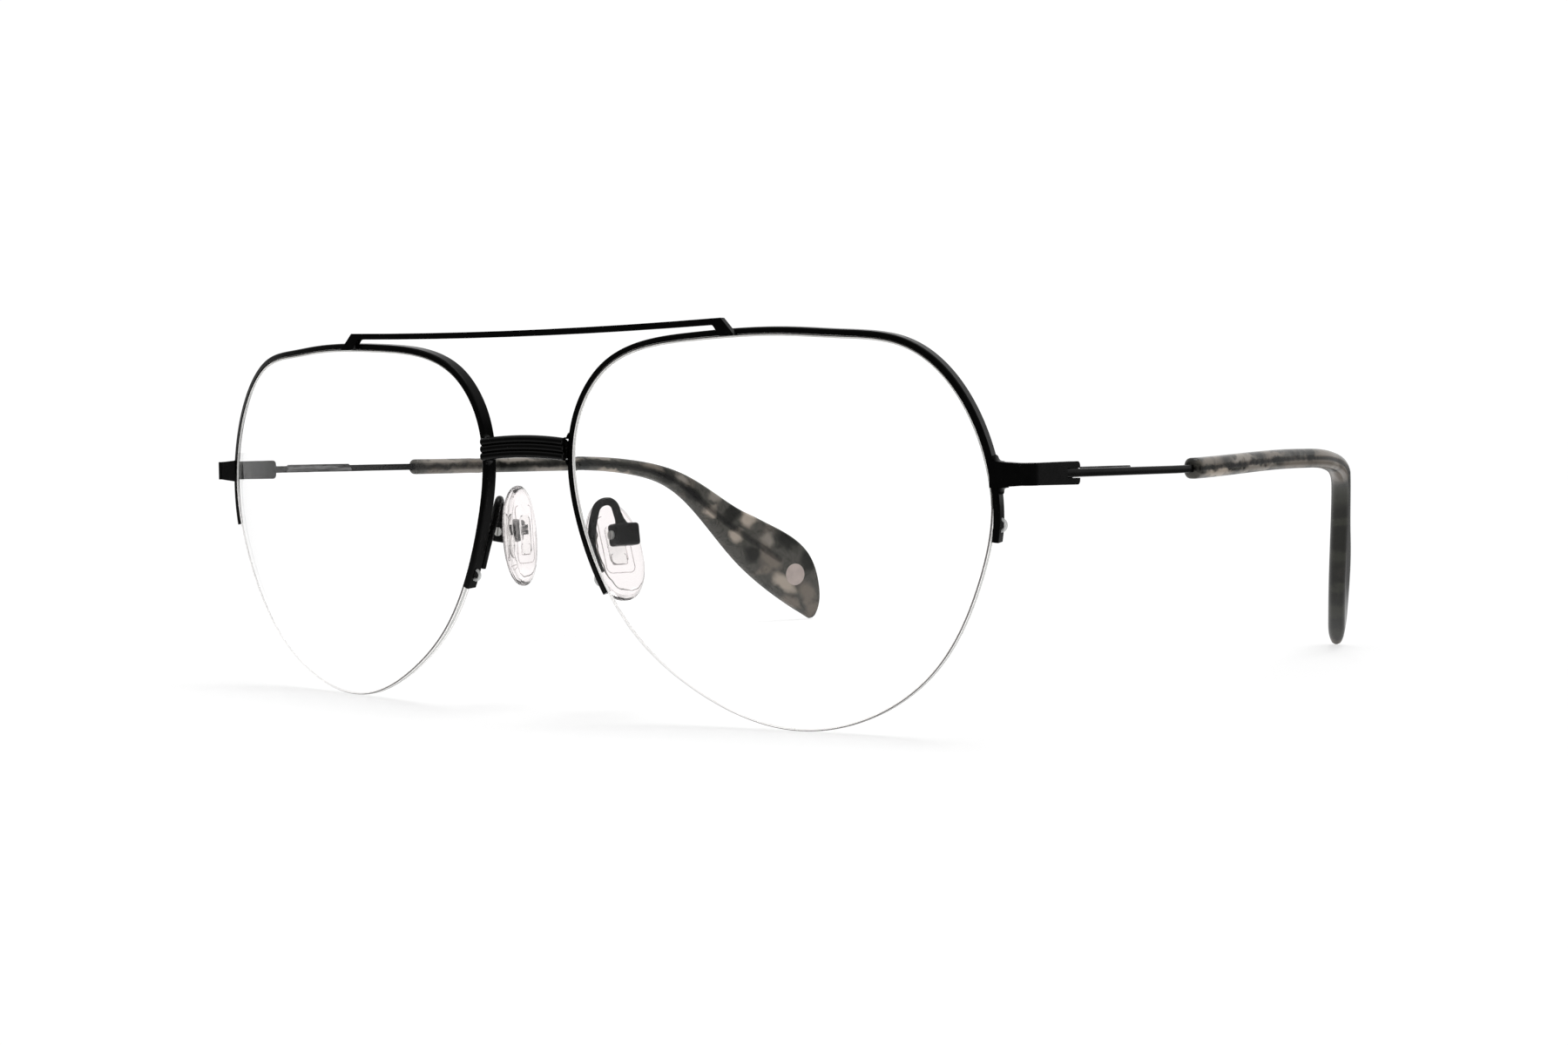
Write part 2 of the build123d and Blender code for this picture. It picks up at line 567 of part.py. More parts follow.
def nose_pad(side):
    """Soft oval pad, domed on the side that meets the nose, with the mount's plate moulded in."""
    middle = PAD_FROM_PIVOT + PAD_THICK / 2
    oval = Pos(-PAD_BELOW_PIVOT, 0, PAD_FROM_PIVOT) * extrude(Ellipse(PAD_TALL / 2, PAD_WIDE / 2), PAD_THICK)
    pad = fillet(oval.edges().sort_by(Axis.Z)[-1], PAD_THICK * 0.6)
    pad = fillet(pad.edges().sort_by(Axis.Z)[0], PAD_THICK * 0.25)
    return pad_frame(side) * (pad - mount_shape(SEAT_GAP))


def mount_shape(room=0.0):
    """Clear hard insert: oblong plate inside the pad and a round lug for the screw."""
    plate = Pos(-PAD_BELOW_PIVOT / 2, 0, PAD_FROM_PIVOT + MOUNT_THICK) * extrude(
        RectangleRounded(MOUNT_TALL + 2 * room, MOUNT_WIDE + 2 * room, MOUNT_WIDE / 3), MOUNT_THICK + room)
    long = BOX_LONG - 2 * BOX_WALL - 2 * LUG_GAP
    neck = Pos(0, 0, PAD_FROM_PIVOT / 2 + MOUNT_THICK / 2) * Box(
        2 * LUG_RADIUS + 2 * room, long + 2 * room, PAD_FROM_PIVOT + MOUNT_THICK)
    eye = Rot(90, 0, 0) * Cylinder(LUG_RADIUS + room, long + 2 * room)
    return plate + neck + eye


def pad_mount(side):
    hole = Rot(90, 0, 0) * Cylinder(PAD_SCREW_RADIUS + PAD_SCREW_GAP, BOX_LONG * 2)
    return pad_frame(side) * (mount_shape() - hole)


def pad_box():
    """Box on the end of the arm, open towards the pad, with the screw's holes in its cheeks."""
    box = Box(BOX_TALL, BOX_LONG, BOX_DEEP)
    box = fillet(box.edges(), BOX_EDGE)
    pocket = Pos(0, 0, BOX_DEEP / 2) * Box(POCKET_TALL, BOX_LONG - 2 * BOX_WALL,
                                           BOX_DEEP + 2 * (LUG_RADIUS + LUG_GAP))
    hole = Rot(90, 0, 0) * Cylinder(PAD_SCREW_RADIUS + SEAT_GAP / 3, BOX_LONG * 2)
    return box_frame() * (box - pocket - hole)


def pad_screw():
    """Small screw across the box, with its slotted head in front."""
    shank = Pos(0, PAD_SCREW_END / 2, 0) * (Rot(90, 0, 0) * Cylinder(PAD_SCREW_RADIUS, BOX_LONG + PAD_SCREW_END))
    head = Pos(0, -BOX_LONG / 2 - PAD_SCREW_HEAD_THICK / 2, 0) * (
        Rot(90, 0, 0) * Cylinder(PAD_SCREW_HEAD, PAD_SCREW_HEAD_THICK))
    slot = Pos(0, -BOX_LONG / 2 - PAD_SCREW_HEAD_THICK, 0) * Box(3 * PAD_SCREW_HEAD, 2 * SLOT_DEEP, SLOT_WIDE)
    return box_frame() * (shank + head - slot)


def behind_rim(angle, back):
    """Point this far behind the middle of the rim's back, at an angle round the lens."""
    point, out = along(share_at(angle))
    middle = point + out * (RIM_WIDTH / 2)
    radius = BASE_RADIUS - (RIM_DEPTH - RIM_PROUD + back)
    height = sqrt(radius**2 - middle.X**2 - middle.Y**2) - BASE_RADIUS
    return LENS_FRAME.from_local_coords(Vector(middle.X, middle.Y, height))


def pad_arm(rims, box):
    """Wire arm with its foot soldered behind the rim, looped over into the pad box."""
    foot = [behind_rim(angle, ARM_RADIUS - ARM_SINK) for angle in ARM_FOOT]
    path = FilletPolyline(*foot, *[Vector(*PAD_PIVOT) + Vector(*step) for step in ARM_RUN], radius=ARM_BENDS)
    arm = sweep(Plane(path @ 0, z_dir=path % 0) * Circle(ARM_RADIUS), path=path)
    for piece in rims + [box, box_frame() * Box(BOX_TALL, BOX_LONG, BOX_DEEP)]:
        arm = arm - piece
    return max(arm.solids(), key=lambda solid: solid.volume)


# ---------------------------------------------------------------- build

def build():
    """Every node of the model by name."""
    nodes = {}
    seat = LENS_FRAME * rim_seat()
    rims = [seat, mirror(seat, about=Plane.YZ)]
    nodes["brow_bar"] = brow_bar(rims)
    nodes["bridge"] = bridge(rims)
    lug = end_piece([seat])
    block = temple_block()
    box = pad_box()
    core = TEMPLE_FRAME * temple_wire()
    left = {
        "rim": LENS_FRAME * rim(),
        "rim_liner": LENS_FRAME * rim_liner(),
        "lens": LENS_FRAME * lens(),
        "lens_thread": LENS_FRAME * lens_thread(),
        "end_piece": lug,
        "front_knuckles": front_knuckles(lug),
        "hinge_screw": hinge_screw(),
        "temple_block": block,
        "temple_knuckle": temple_knuckle(block),
        "temple_wire": core,
        "marking_plate": marking_plate(),
        "temple_sleeve": TEMPLE_FRAME * temple_sleeve(),
        "pad_arm": pad_arm([seat], box),
        "pad_box": box,
        "pad_screw": pad_screw(),
    }
    for name, solid in left.items():
        nodes[name + "_left"] = solid
        nodes[name + "_right"] = mirror(solid, about=Plane.YZ)
    disc = mirror(TEMPLE_FRAME * tip_disc(), about=Plane.YZ)
    nodes["temple_sleeve_right"] = nodes["temple_sleeve_right"] - disc
    nodes["tip_disc_right"] = disc
    for side in ("left", "right"):
        pieces = {"nose_pad": nose_pad(side), "pad_mount": pad_mount(side)}
        for name, solid in pieces.items():
            nodes[name + "_" + side] = solid if side == "left" else mirror(solid, about=Plane.YZ)
    return nodes


NODES = build()
box = Compound([solid for node in NODES.values() for solid in node.solids()]).bounding_box()
shift = Pos(-(box.min.X + box.max.X) / 2, -(box.min.Y + box.max.Y) / 2, -box.min.Z)
os.makedirs("parts", exist_ok=True)
for name, node in NODES.items():
    solids = (shift * Compound(node.solids())).solids()
    export_step(solids[0] if len(solids) == 1 else Compound(solids), f"parts/{name}.step")
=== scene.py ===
import json
import math

import bpy
import numpy as np
from bpy.props import FloatProperty, FloatVectorProperty, PointerProperty
from mathutils import Matrix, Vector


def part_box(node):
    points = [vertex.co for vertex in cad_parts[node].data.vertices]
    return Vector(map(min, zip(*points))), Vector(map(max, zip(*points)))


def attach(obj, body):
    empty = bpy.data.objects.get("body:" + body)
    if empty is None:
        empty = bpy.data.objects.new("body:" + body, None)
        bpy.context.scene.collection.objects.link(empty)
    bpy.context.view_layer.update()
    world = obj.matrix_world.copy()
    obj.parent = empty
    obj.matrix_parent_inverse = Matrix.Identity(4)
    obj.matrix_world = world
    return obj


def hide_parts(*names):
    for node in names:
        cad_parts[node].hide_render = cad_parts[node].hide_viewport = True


bl_info = {
    "name": "Semi-rimless spectacles",
    "version": (1, 0, 0),
    "blender": (4, 5, 0),
    "location": "View3D > Sidebar > Spectacles",
    "description": "Dresses the spectacles' fixed parts and builds lenses, thread, pads, sleeves and studio",
    "category": "Add Mesh",
}

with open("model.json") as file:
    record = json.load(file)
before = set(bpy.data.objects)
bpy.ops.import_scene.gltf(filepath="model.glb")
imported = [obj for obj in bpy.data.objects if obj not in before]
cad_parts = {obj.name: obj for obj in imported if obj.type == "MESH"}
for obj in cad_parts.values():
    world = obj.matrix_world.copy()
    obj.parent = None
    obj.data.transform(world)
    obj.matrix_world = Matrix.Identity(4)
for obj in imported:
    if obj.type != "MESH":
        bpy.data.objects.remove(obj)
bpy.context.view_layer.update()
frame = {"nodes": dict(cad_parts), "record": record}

MM = 0.001
SIDES = {"left": 1.0, "right": -1.0}

# Design sizes in millimetres, in the drawing's own frame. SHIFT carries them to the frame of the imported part.
LENS_WIDTH, LENS_HEIGHT, LENS_THICK = 57.5, 48.5, 1.3
BRIDGE_SPACE, BASE_RADIUS, FACE_WRAP, PANTO_TILT = 15.1, 121.0, 7.9, 4.8
LENS_OUTLINE = np.array([
    (0.934, -0.232), (1.000, 0.201), (0.626, 0.928), (0.348, 0.978), (0.139, 0.996), (-0.334, 0.985),
    (-0.828, 0.826), (-0.965, 0.596), (-0.947, 0.001), (-0.666, -0.585), (-0.411, -0.814), (0.066, -0.999),
    (0.716, -0.681),
])
THREAD_PROUD, RIM_WIDTH = 0.1, 0.76
RIM_NASAL_END, RIM_TEMPORAL_END, LOOP_FROM_END, LOOP_PITCH = 198.0, -1.5, 2.0, 1.4
HINGE_Y, TEMPLE_HEIGHT, TEMPLE_DROP, WIRE_MIDDLE = 10.0, 31.45, 0.5, 69.164
EAR_BEND, EAR_RADIUS, EAR_TURN = 78.0, 56.0, 23.0
BRIDGE_TOP, BRIDGE_UNDER, END_TOP, END_UNDER = 36.07, 33.22, 32.98, 29.9
ARM_RADIUS, ARM_END, ARM_BEND_LAST = 0.52, np.array([-0.1, -0.45, 1.3]), np.array([-0.5, -1.3, 4.1])
SLEEVE_START, SLEEVE_BOW, SLEEVE_IN = {"left": 38.85, "right": 37.8}, 0.95, 0.85
SLEEVE_SWELL, SLEEVE_TALLER = {"left": 0.16, "right": 0.0}, {"left": 0.28, "right": 0.0}
SLEEVE_TURNED_OUT, SLEEVE_LEANT_IN = 0.07, 0.085
WIRE, WIRE_CORNER, WIRE_START, WIRE_END, BLOCK_END = 1.0, 0.16, 5.38, 50.0, 8.48
DISC_BACK, DISC_UP, DISC_DOME = 25.8, -21.6, 0.12
SLEEVE_TOP = [(12.4, 0.60), (22.8, -1.80), (35.4, -9.40), (43.4, -13.40), (48.2, -17.30), (50.6, -24.0)]
SLEEVE_UNDER = [(12.3, -2.00), (20.8, -4.40), (27.5, -10.40), (35.2, -19.50), (43.2, -26.20)]
SLEEVE_TIP, TIP_ROUND = (49.0, -30.15), 1.3
CORE_LINE = [(12.4, -0.70), (21.5, -3.40), (29.5, -9.80), (42.0, -18.60)]
PAD_PIVOT, PAD_LEAN, PAD_SPLAY = (10.6, 5.8, 23.6), 8.5, {"left": 17.0, "right": 13.0}
PAD_REST = {"left": 12.0, "right": -12.0}
PAD_TALL, PAD_WIDE, PAD_THICK, PAD_WIDEST, PAD_FROM_PIVOT = 13.4, 8.0, 1.8, 0.62, 1.75
INSERT_RIB, INSERT_DEEP = 0.06, 0.75
PAD_BELOW, PAD_BEHIND = {"left": 1.3, "right": 0.75}, {"left": 0.0, "right": -0.7}

# The insert's ribs on the pad: lower and upper end, half width, corner radius.
INSERT_RIBS = [(-4.4, 3.2, 2.1, 0.8), (-3.3, -1.9, 1.15, 0.3)]

# Solder fillets: height where they meet the rim, half of the rim, depth there, step to the corner, sense along the
# rim, the second wall's direction, length from front to back, size.
FILLETS = {
    "bridge_top": (BRIDGE_TOP, "nasal", 0.15, (0.0, -0.55, 0.0), 1, (-1.0, 0.0, 0.16), 1.35, 0.75),
    "bridge_under": (BRIDGE_UNDER, "nasal", 0.15, (0.0, -0.55, 0.0), -1, (-1.0, 0.0, 0.16), 1.35, 0.75),
    "end_top": (END_TOP, "temporal", 0.1, (0.05, -0.1, 0.0), 1, (0.9, 0.45, 0.0), 1.3, 0.8),
    "end_under": (END_UNDER, "temporal", 0.1, (0.05, -0.1, 0.0), -1, (0.9, 0.45, 0.0), 1.3, 0.8),
}
SEAM_RADIUS, SEAM_STEP, SEAM_SHORT = 0.5, (-0.3, -0.35, 0.0), 0.35
BEAD_RADIUS, BEAD_UP, BEAD_OFF = 0.34, 0.56, 0.12
COLLAR_LONG, COLLAR_SUNK, COLLAR_FLARE = 1.55, 0.15, 0.75

# Larger clouds of the acetate on the sleeves' side view: behind the hinge, above the axis, half length, half
# height, lean in degrees, tone.
CLOUDS = {
    "right": [
        (44.0, 0.7, 7.0, 0.8, 0, "taupe"), (50.0, -0.8, 8.0, 0.8, 0, "taupe"), (62.0, 0.8, 7.0, 0.8, 0, "taupe"),
        (70.0, -0.9, 7.0, 0.8, 0, "taupe"), (76.0, 0.8, 4.0, 0.8, 0, "taupe"), (88.0, -1.9, 7.0, 0.8, -8, "cream"),
        (84.0, 0.9, 5.0, 0.6, -4, "taupe"), (98.0, -5.2, 5.0, 1.5, -30, "grey"),
        (95.0, -0.9, 3.0, 0.9, -20, "brown"), (103.0, -5.8, 3.2, 1.4, -35, "dark"),
        (101.0, -3.2, 2.0, 1.0, -30, "taupe"), (107.2, -6.5, 1.8, 1.3, -30, "taupe"),
        (106.5, -9.3, 1.7, 1.6, 0, "cream"), (110.3, -10.0, 1.8, 2.6, -30, "dark"),
        (113.9, -10.8, 2.1, 2.4, -20, "cream"), (111.3, -13.9, 1.8, 1.8, 0, "cream"),
        (121.5, -14.6, 3.4, 2.6, -35, "dark"), (117.6, -14.9, 2.1, 1.5, -40, "taupe"),
        (114.6, -17.4, 2.6, 2.2, -45, "dark"), (118.5, -18.8, 3.2, 1.7, -40, "brown"),
        (125.8, -19.4, 2.2, 3.0, 0, "dark"), (120.9, -23.2, 3.8, 1.7, -40, "cream"),
        (125.6, -25.2, 3.0, 2.2, -40, "brown"), (122.5, -27.0, 3.0, 1.2, -40, "brown"),
        (126.8, -28.4, 1.8, 1.8, 0, "brown"),
    ],
    "left": [
        (45.0, -0.8, 6.0, 0.75, 0, "cream"), (42.0, 0.9, 3.0, 0.7, 0, "brown"), (58.0, -0.9, 9.0, 0.7, 0, "taupe"),
        (53.0, 0.8, 5.0, 0.6, 0, "taupe"), (64.0, 0.9, 4.0, 0.6, 0, "brown"), (72.0, -0.6, 8.0, 1.2, 0, "brown"),
        (84.0, -0.2, 10.0, 2.4, -3, "brown"), (77.0, 0.7, 1.6, 1.2, 0, "dark"),
        (94.0, -2.4, 5.0, 2.4, -20, "brown"), (88.0, -1.0, 3.0, 0.8, -8, "taupe"),
        (107.0, -10.0, 17.0, 9.0, -42, "dark"), (119.0, -21.0, 17.0, 12.0, -45, "dark"),
        (100.5, -5.8, 3.4, 1.8, -40, "olive"), (104.5, -10.0, 1.4, 2.0, -45, "olive"),
        (108.8, -15.6, 2.0, 2.4, -45, "olive"), (113.6, -20.4, 1.4, 1.4, 0, "olive"),
        (118.5, -24.0, 2.6, 1.6, -45, "olive"), (124.0, -28.0, 1.5, 1.5, 0, "olive"),
        (127.0, -29.5, 1.5, 1.5, 0, "brown"),
    ],
}


def frame_shift():
    """From the drawing's frame to the part's, read from where the left hinge screw is."""
    low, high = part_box("hinge_screw_left")
    middle = np.array([(a + b) / 2 for a, b in zip(low, high)]) / MM
    return np.array([0.0, middle[1] - HINGE_Y, middle[2] - TEMPLE_HEIGHT])


SHIFT = frame_shift()


# ---------------------------------------------------------------- curves

def closed_spline(nodes, count):
    """Closed cubic through the nodes, whose slope and bend run on smoothly through each of them.
    Returns points evenly spaced along it and the unit direction at each."""
    nodes = np.asarray(nodes, float)
    step = np.linalg.norm(np.roll(nodes, -1, 0) - nodes, axis=1)
    back = np.roll(step, 1)
    size = len(nodes)
    rows = np.arange(size)
    matrix = np.zeros((size, size))
    matrix[rows, rows - 1] = 1 / back
    matrix[rows, rows] = 2 / back + 2 / step
    matrix[rows, (rows + 1) % size] = 1 / step
    rise = (nodes - np.roll(nodes, 1, 0)) / back[:, None] ** 2
    rise = rise + (np.roll(nodes, -1, 0) - nodes) / step[:, None] ** 2
    slope = np.linalg.solve(matrix, 3 * rise)
    return even_points(hermite(nodes, np.roll(nodes, -1, 0), slope, np.roll(slope, -1, 0), step), count, True)


def open_spline(nodes, first, last, count):
    """Cubic through the nodes that leaves the first along one direction and reaches the last along another."""
    nodes = np.asarray(nodes, float)
    step = np.linalg.norm(np.diff(nodes, axis=0), axis=1)
    size = len(nodes)
    matrix, rise = np.eye(size), np.zeros((size, nodes.shape[1]))
    rise[0], rise[-1] = unit(first), unit(last)
    rows = np.arange(1, size - 1)
    matrix[rows, rows - 1] = 1 / step[:-1]
    matrix[rows, rows] = 2 / step[:-1] + 2 / step[1:]
    matrix[rows, rows + 1] = 1 / step[1:]
    spans = np.diff(nodes, axis=0) / step[:, None] ** 2
    rise[1:-1] = 3 * (spans[:-1] + spans[1:])
    slope = np.linalg.solve(matrix, rise)
    return even_points(hermite(nodes[:-1], nodes[1:], slope[:-1], slope[1:], step), count, False)


def hermite(start, end, leave, arrive, step, fine=60):
    """Cubic pieces between node pairs, from their places and slopes, as one run of points."""
    t = np.linspace(0, 1, fine, endpoint=False)[None, :, None]
    start, end, leave, arrive = (a[:, None, :] for a in (start, end, leave, arrive))
    step = step[:, None, None]
    run = ((2 * t**3 - 3 * t**2 + 1) * start + (t**3 - 2 * t**2 + t) * step * leave
           + (3 * t**2 - 2 * t**3) * end + (t**3 - t**2) * step * arrive)
    return np.vstack([run.reshape(-1, run.shape[2]), end[-1]])


def even_points(run, count, closed):
    """The same line at evenly spaced points, with its unit direction at each."""
    far = np.concatenate([[0], np.cumsum(np.linalg.norm(np.diff(run, axis=0), axis=1))])
    at = np.linspace(0, far[-1], count, endpoint=not closed)
    points = np.stack([np.interp(at, far, run[:, k]) for k in range(run.shape[1])], axis=1)
    if closed:
        ahead = np.roll(points, -1, 0) - np.roll(points, 1, 0)
    else:
        ahead = np.gradient(points, axis=0)
    return points, ahead / np.linalg.norm(ahead, axis=1, keepdims=True)


def unit(vector):
    """The vector divided by its length."""
    vector = np.asarray(vector, float)
    return vector / np.linalg.norm(vector)


# ---------------------------------------------------------------- meshes

def new_piece(name, points, faces, smooth_angle=40.0, slots=None, uv=None):
    """Mesh object from points in millimetres of the drawing's frame, lying at the origin, faces shaded smooth
    except across edges sharper than an angle."""
    mesh = bpy.data.meshes.new(name)
    mesh.from_pydata(((points + SHIFT) * MM).tolist(), [], faces)
    if slots is not None:
        mesh.polygons.foreach_set("material_index", slots)
    mesh.validate()
    mesh.shade_smooth()
    mesh.set_sharp_from_angle(angle=math.radians(smooth_angle))
    if uv is not None:
        layer = mesh.uv_layers.new(name="UVMap")
        loops = np.zeros(len(mesh.loops), np.int32)
        mesh.loops.foreach_get("vertex_index", loops)
        layer.data.foreach_set("uv", uv[loops].astype(np.float32).ravel())
    piece = bpy.data.objects.new(name, mesh)
    bpy.context.scene.collection.objects.link(piece)
    return piece


def ring_faces(rings, around, flip=False, cap_first=True, cap_last=True):
    """Quads between successive rings of a closed tube, with its two ends closed by flat faces."""
    i, j = np.meshgrid(np.arange(rings - 1), np.arange(around), indexing="ij")
    a = i * around + j
    b = i * around + (j + 1) % around
    quads = np.stack([a, b, b + around, a + around], axis=-1).reshape(-1, 4)
    faces = quads.tolist()
    if cap_first:
        faces.append(list(range(around))[::-1])
    if cap_last:
        faces.append(list(range((rings - 1) * around, rings * around)))
    if flip:
        faces = [face[::-1] for face in faces]
    return faces


def tube(path, radius, around=16):
    """Round profile carried along a path: each ring stands square to the path, in a frame that turns with it
    as little as it can. Returns points and faces."""
    ahead = np.gradient(path, axis=0)
    ahead /= np.linalg.norm(ahead, axis=1, keepdims=True)
    side = np.zeros_like(path)
    side[0] = unit(np.cross(ahead[0], [0.31, 0.22, 0.93]))
    for k in range(1, len(path)):
        side[k] = unit(side[k - 1] - ahead[k] * (side[k - 1] @ ahead[k]))
    third = np.cross(ahead, side)
    turn = np.linspace(0, 2 * math.pi, around, endpoint=False)
    radius = np.broadcast_to(radius, len(path))[:, None, None]
    points = path[:, None] + radius * (side[:, None] * np.cos(turn)[None, :, None]
                                       + third[:, None] * np.sin(turn)[None, :, None])
    return points.reshape(-1, 3), ring_faces(len(path), around)


def join(*shapes):
    """Several point and face lists as one."""
    points, faces, start = [], [], 0
    for some_points, some_faces in shapes:
        points.append(some_points)
        faces += [[index + start for index in face] for face in some_faces]
        start += len(some_points)
    return np.vstack(points), faces


def mirrored(points, side):
    """The wearer's left half as drawn, or its mirror image for the right."""
    return points * np.array([SIDES[side], 1, 1])


# ---------------------------------------------------------------- lenses

def lens_axes():
    """Origin, across, up and ahead of the left lens: turned by the face wrap, tilted towards the cheeks."""
    wrap, tilt = math.radians(FACE_WRAP), math.radians(PANTO_TILT)
    across = np.array([math.cos(wrap), math.sin(wrap), 0])
    ahead = np.array([math.cos(tilt) * math.sin(wrap), -math.cos(tilt) * math.cos(wrap), -math.sin(tilt)])
    sag_x = BASE_RADIUS - math.sqrt(BASE_RADIUS**2 - (LENS_WIDTH / 2) ** 2)
    sag_z = BASE_RADIUS - math.sqrt(BASE_RADIUS**2 - (LENS_HEIGHT / 2) ** 2)
    origin = np.array([BRIDGE_SPACE / 2 + LENS_WIDTH / 2 * math.cos(wrap) + sag_x * math.sin(wrap), -0.4,
                       LENS_HEIGHT / 2 * math.cos(tilt) - sag_z * math.sin(tilt) + THREAD_PROUD])
    return origin, across, np.cross(ahead, across), ahead


LENS_AT, LENS_X, LENS_Y, LENS_Z = lens_axes()
OUTLINE_POINTS = 288
OUTLINE, OUTLINE_AHEAD = closed_spline(LENS_OUTLINE * np.array([LENS_WIDTH, LENS_HEIGHT]) / 2, OUTLINE_POINTS)
OUTLINE_OUT = np.stack([OUTLINE_AHEAD[:, 1], -OUTLINE_AHEAD[:, 0]], axis=1)


def on_lens(flat, depth):
    """Points of the lens plane carried back to a depth behind the front curve: the same sphere centre, and a
    radius smaller by the depth."""
    radius = BASE_RADIUS - depth
    height = np.sqrt(radius**2 - (flat**2).sum(-1)) - BASE_RADIUS
    return LENS_AT + flat[..., :1] * LENS_X + flat[..., 1:] * LENS_Y + height[..., None] * LENS_Z


def lens_shape(bevel, groove_wide, groove_deep):
    """Rings from the middle of the front, over the ground edge with its bevels and groove, to the middle of
    the back. Each ring is the outline shrunk by a share, or moved in along its normals by a distance."""
    shares = np.array([0.06, 0.2, 0.35, 0.5, 0.64, 0.76, 0.86, 0.93])
    low, high, far = (LENS_THICK - groove_wide) / 2, (LENS_THICK + groove_wide) / 2, LENS_THICK - bevel
    edge = [(bevel, 0), (0, bevel), (0, low), (groove_deep * 0.8, low + 0.06), (groove_deep, LENS_THICK / 2),
            (groove_deep * 0.8, high - 0.06), (0, high), (0, far), (bevel, LENS_THICK)]
    near = [bevel + 0.5, bevel + 0.08]
    rings = [on_lens(OUTLINE * share, 0) for share in shares]
    rings += [on_lens(OUTLINE - OUTLINE_OUT * inset, 0) for inset in near]
    rings += [on_lens(OUTLINE - OUTLINE_OUT * inset, depth) for inset, depth in edge]
    rings += [on_lens(OUTLINE - OUTLINE_OUT * inset, LENS_THICK) for inset in near[::-1]]
    rings += [on_lens(OUTLINE * share, LENS_THICK) for share in shares[::-1]]
    faces = ring_faces(len(rings), OUTLINE_POINTS)
    first = len(shares) + len(near)
    last = first + len(edge) - 2
    band = np.arange(len(rings) - 1)
    # Slot 1 is the ground edge with its painted glow; slot 2, the two bands beside it, is the bevels with their
    # painted shade.
    kind = np.where((band > first) & (band < last), 1, 0) + np.where((band == first) | (band == last), 2, 0)
    return np.concatenate(rings), faces, np.concatenate([kind.repeat(OUTLINE_POINTS), [0, 0]])


def share_at(angle):
    """Place along the outline, as a point number, that lies at an angle round the lens middle."""
    angles = np.unwrap(np.arctan2(OUTLINE[:, 1], OUTLINE[:, 0]))
    goal = angles[0] + (math.radians(angle) - angles[0]) % (2 * math.pi)
    return float(np.interp(goal, angles, np.arange(OUTLINE_POINTS)))


def outline_at(place, out, depth):
    """Points at places along the outline, moved out along its normals, at a depth behind the front curve."""
    place = np.atleast_1d(np.asarray(place, float)) % OUTLINE_POINTS
    ring = np.arange(OUTLINE_POINTS + 1)
    flat = [np.interp(place, ring, np.append(OUTLINE[:, k], OUTLINE[0, k])) for k in (0, 1)]
    normal = [np.interp(place, ring, np.append(OUTLINE_OUT[:, k], OUTLINE_OUT[0, k])) for k in (0, 1)]
    flat = np.stack([f + n * out for f, n in zip(flat, normal)], axis=1)
    return on_lens(flat, depth)


def thread_shape(radius):
    """Monofilament in the groove below the lens, and at each rim end a loop: out through one hole, round half
    a circle and in through the other."""
    length = np.linalg.norm(np.diff(np.vstack([OUTLINE, OUTLINE[:1]]), axis=0), axis=1).sum()
    per_mm = OUTLINE_POINTS / length
    temporal = share_at(RIM_TEMPORAL_END) + LOOP_FROM_END * per_mm
    nasal = share_at(RIM_NASAL_END) - LOOP_FROM_END * per_mm
    middle = LENS_THICK / 2
    start = nasal + LOOP_PITCH / 2 * per_mm
    end = temporal - LOOP_PITCH / 2 * per_mm + OUTLINE_POINTS
    run = outline_at(np.linspace(start, end, 260), THREAD_PROUD - radius, middle)
    shapes = [tube(run, radius, around=12)]
    for place in (temporal, nasal):
        half = LOOP_PITCH / 2
        turn = np.linspace(0, math.pi, 25)
        along = np.concatenate([[half] * 6, half * np.cos(turn)[1:-1], [-half] * 6])
        leg = np.linspace(-0.2, RIM_WIDTH, 6)
        out = np.concatenate([leg, RIM_WIDTH + half * 0.95 * np.sin(turn)[1:-1], leg[::-1]])
        base = outline_at(place, 0, middle)[0]
        ahead = unit(outline_at(place + 1, 0, middle)[0] - base)
        away = unit(outline_at(place, 1, middle)[0] - base)
        loop = base + along[:, None] * ahead + out[:, None] * away
        shapes.append(tube(loop, radius * 0.85, around=12))
    return join(*shapes)


# ---------------------------------------------------------------- solder

def web_shape(corner, first, second, deep, size, into=0.12):
    """Concave fillet in the corner of two walls. Its section runs from one wall to the other on a curve that
    leaves each along the wall, 'size' from the corner; it is carried along 'deep' and shrinks towards both ends."""
    first, second, deep = unit(first), unit(second), np.asarray(deep, float)
    t = np.linspace(0, 1, 9)[:, None]
    along = np.linspace(0, 1, 11)
    swell = 0.35 + 0.65 * np.sqrt(np.clip(1 - (2 * along - 1) ** 2, 0, 1))
    curve = (1 - t) ** 2 * first + t**2 * second
    sunk = into * np.array([first * 0 - second, -first - second, -first])
    rings = [np.vstack([corner + deep * at + curve * size * grown,
                        corner + deep * at + sunk[2] + second * size * grown * 0.9,
                        corner + deep * at + sunk[1],
                        corner + deep * at + sunk[0] + first * size * grown * 0.9])
             for at, grown in zip(along, swell)]
    faces = ring_faces(len(rings), len(rings[0]))
    points = np.vstack(rings)
    return points, turned(faces, signed_volume(points, faces) < 0)


def signed_volume(points, faces):
    """Volume inside closed faces, negative where they face inwards."""
    total = 0.0
    for size in {len(face) for face in faces}:
        some = np.array([face for face in faces if len(face) == size])
        for k in range(1, size - 1):
            a, b, c = points[some[:, 0]], points[some[:, k]], points[some[:, k + 1]]
            total += np.einsum("ij,ij->", a, np.cross(b, c)) / 6
    return total


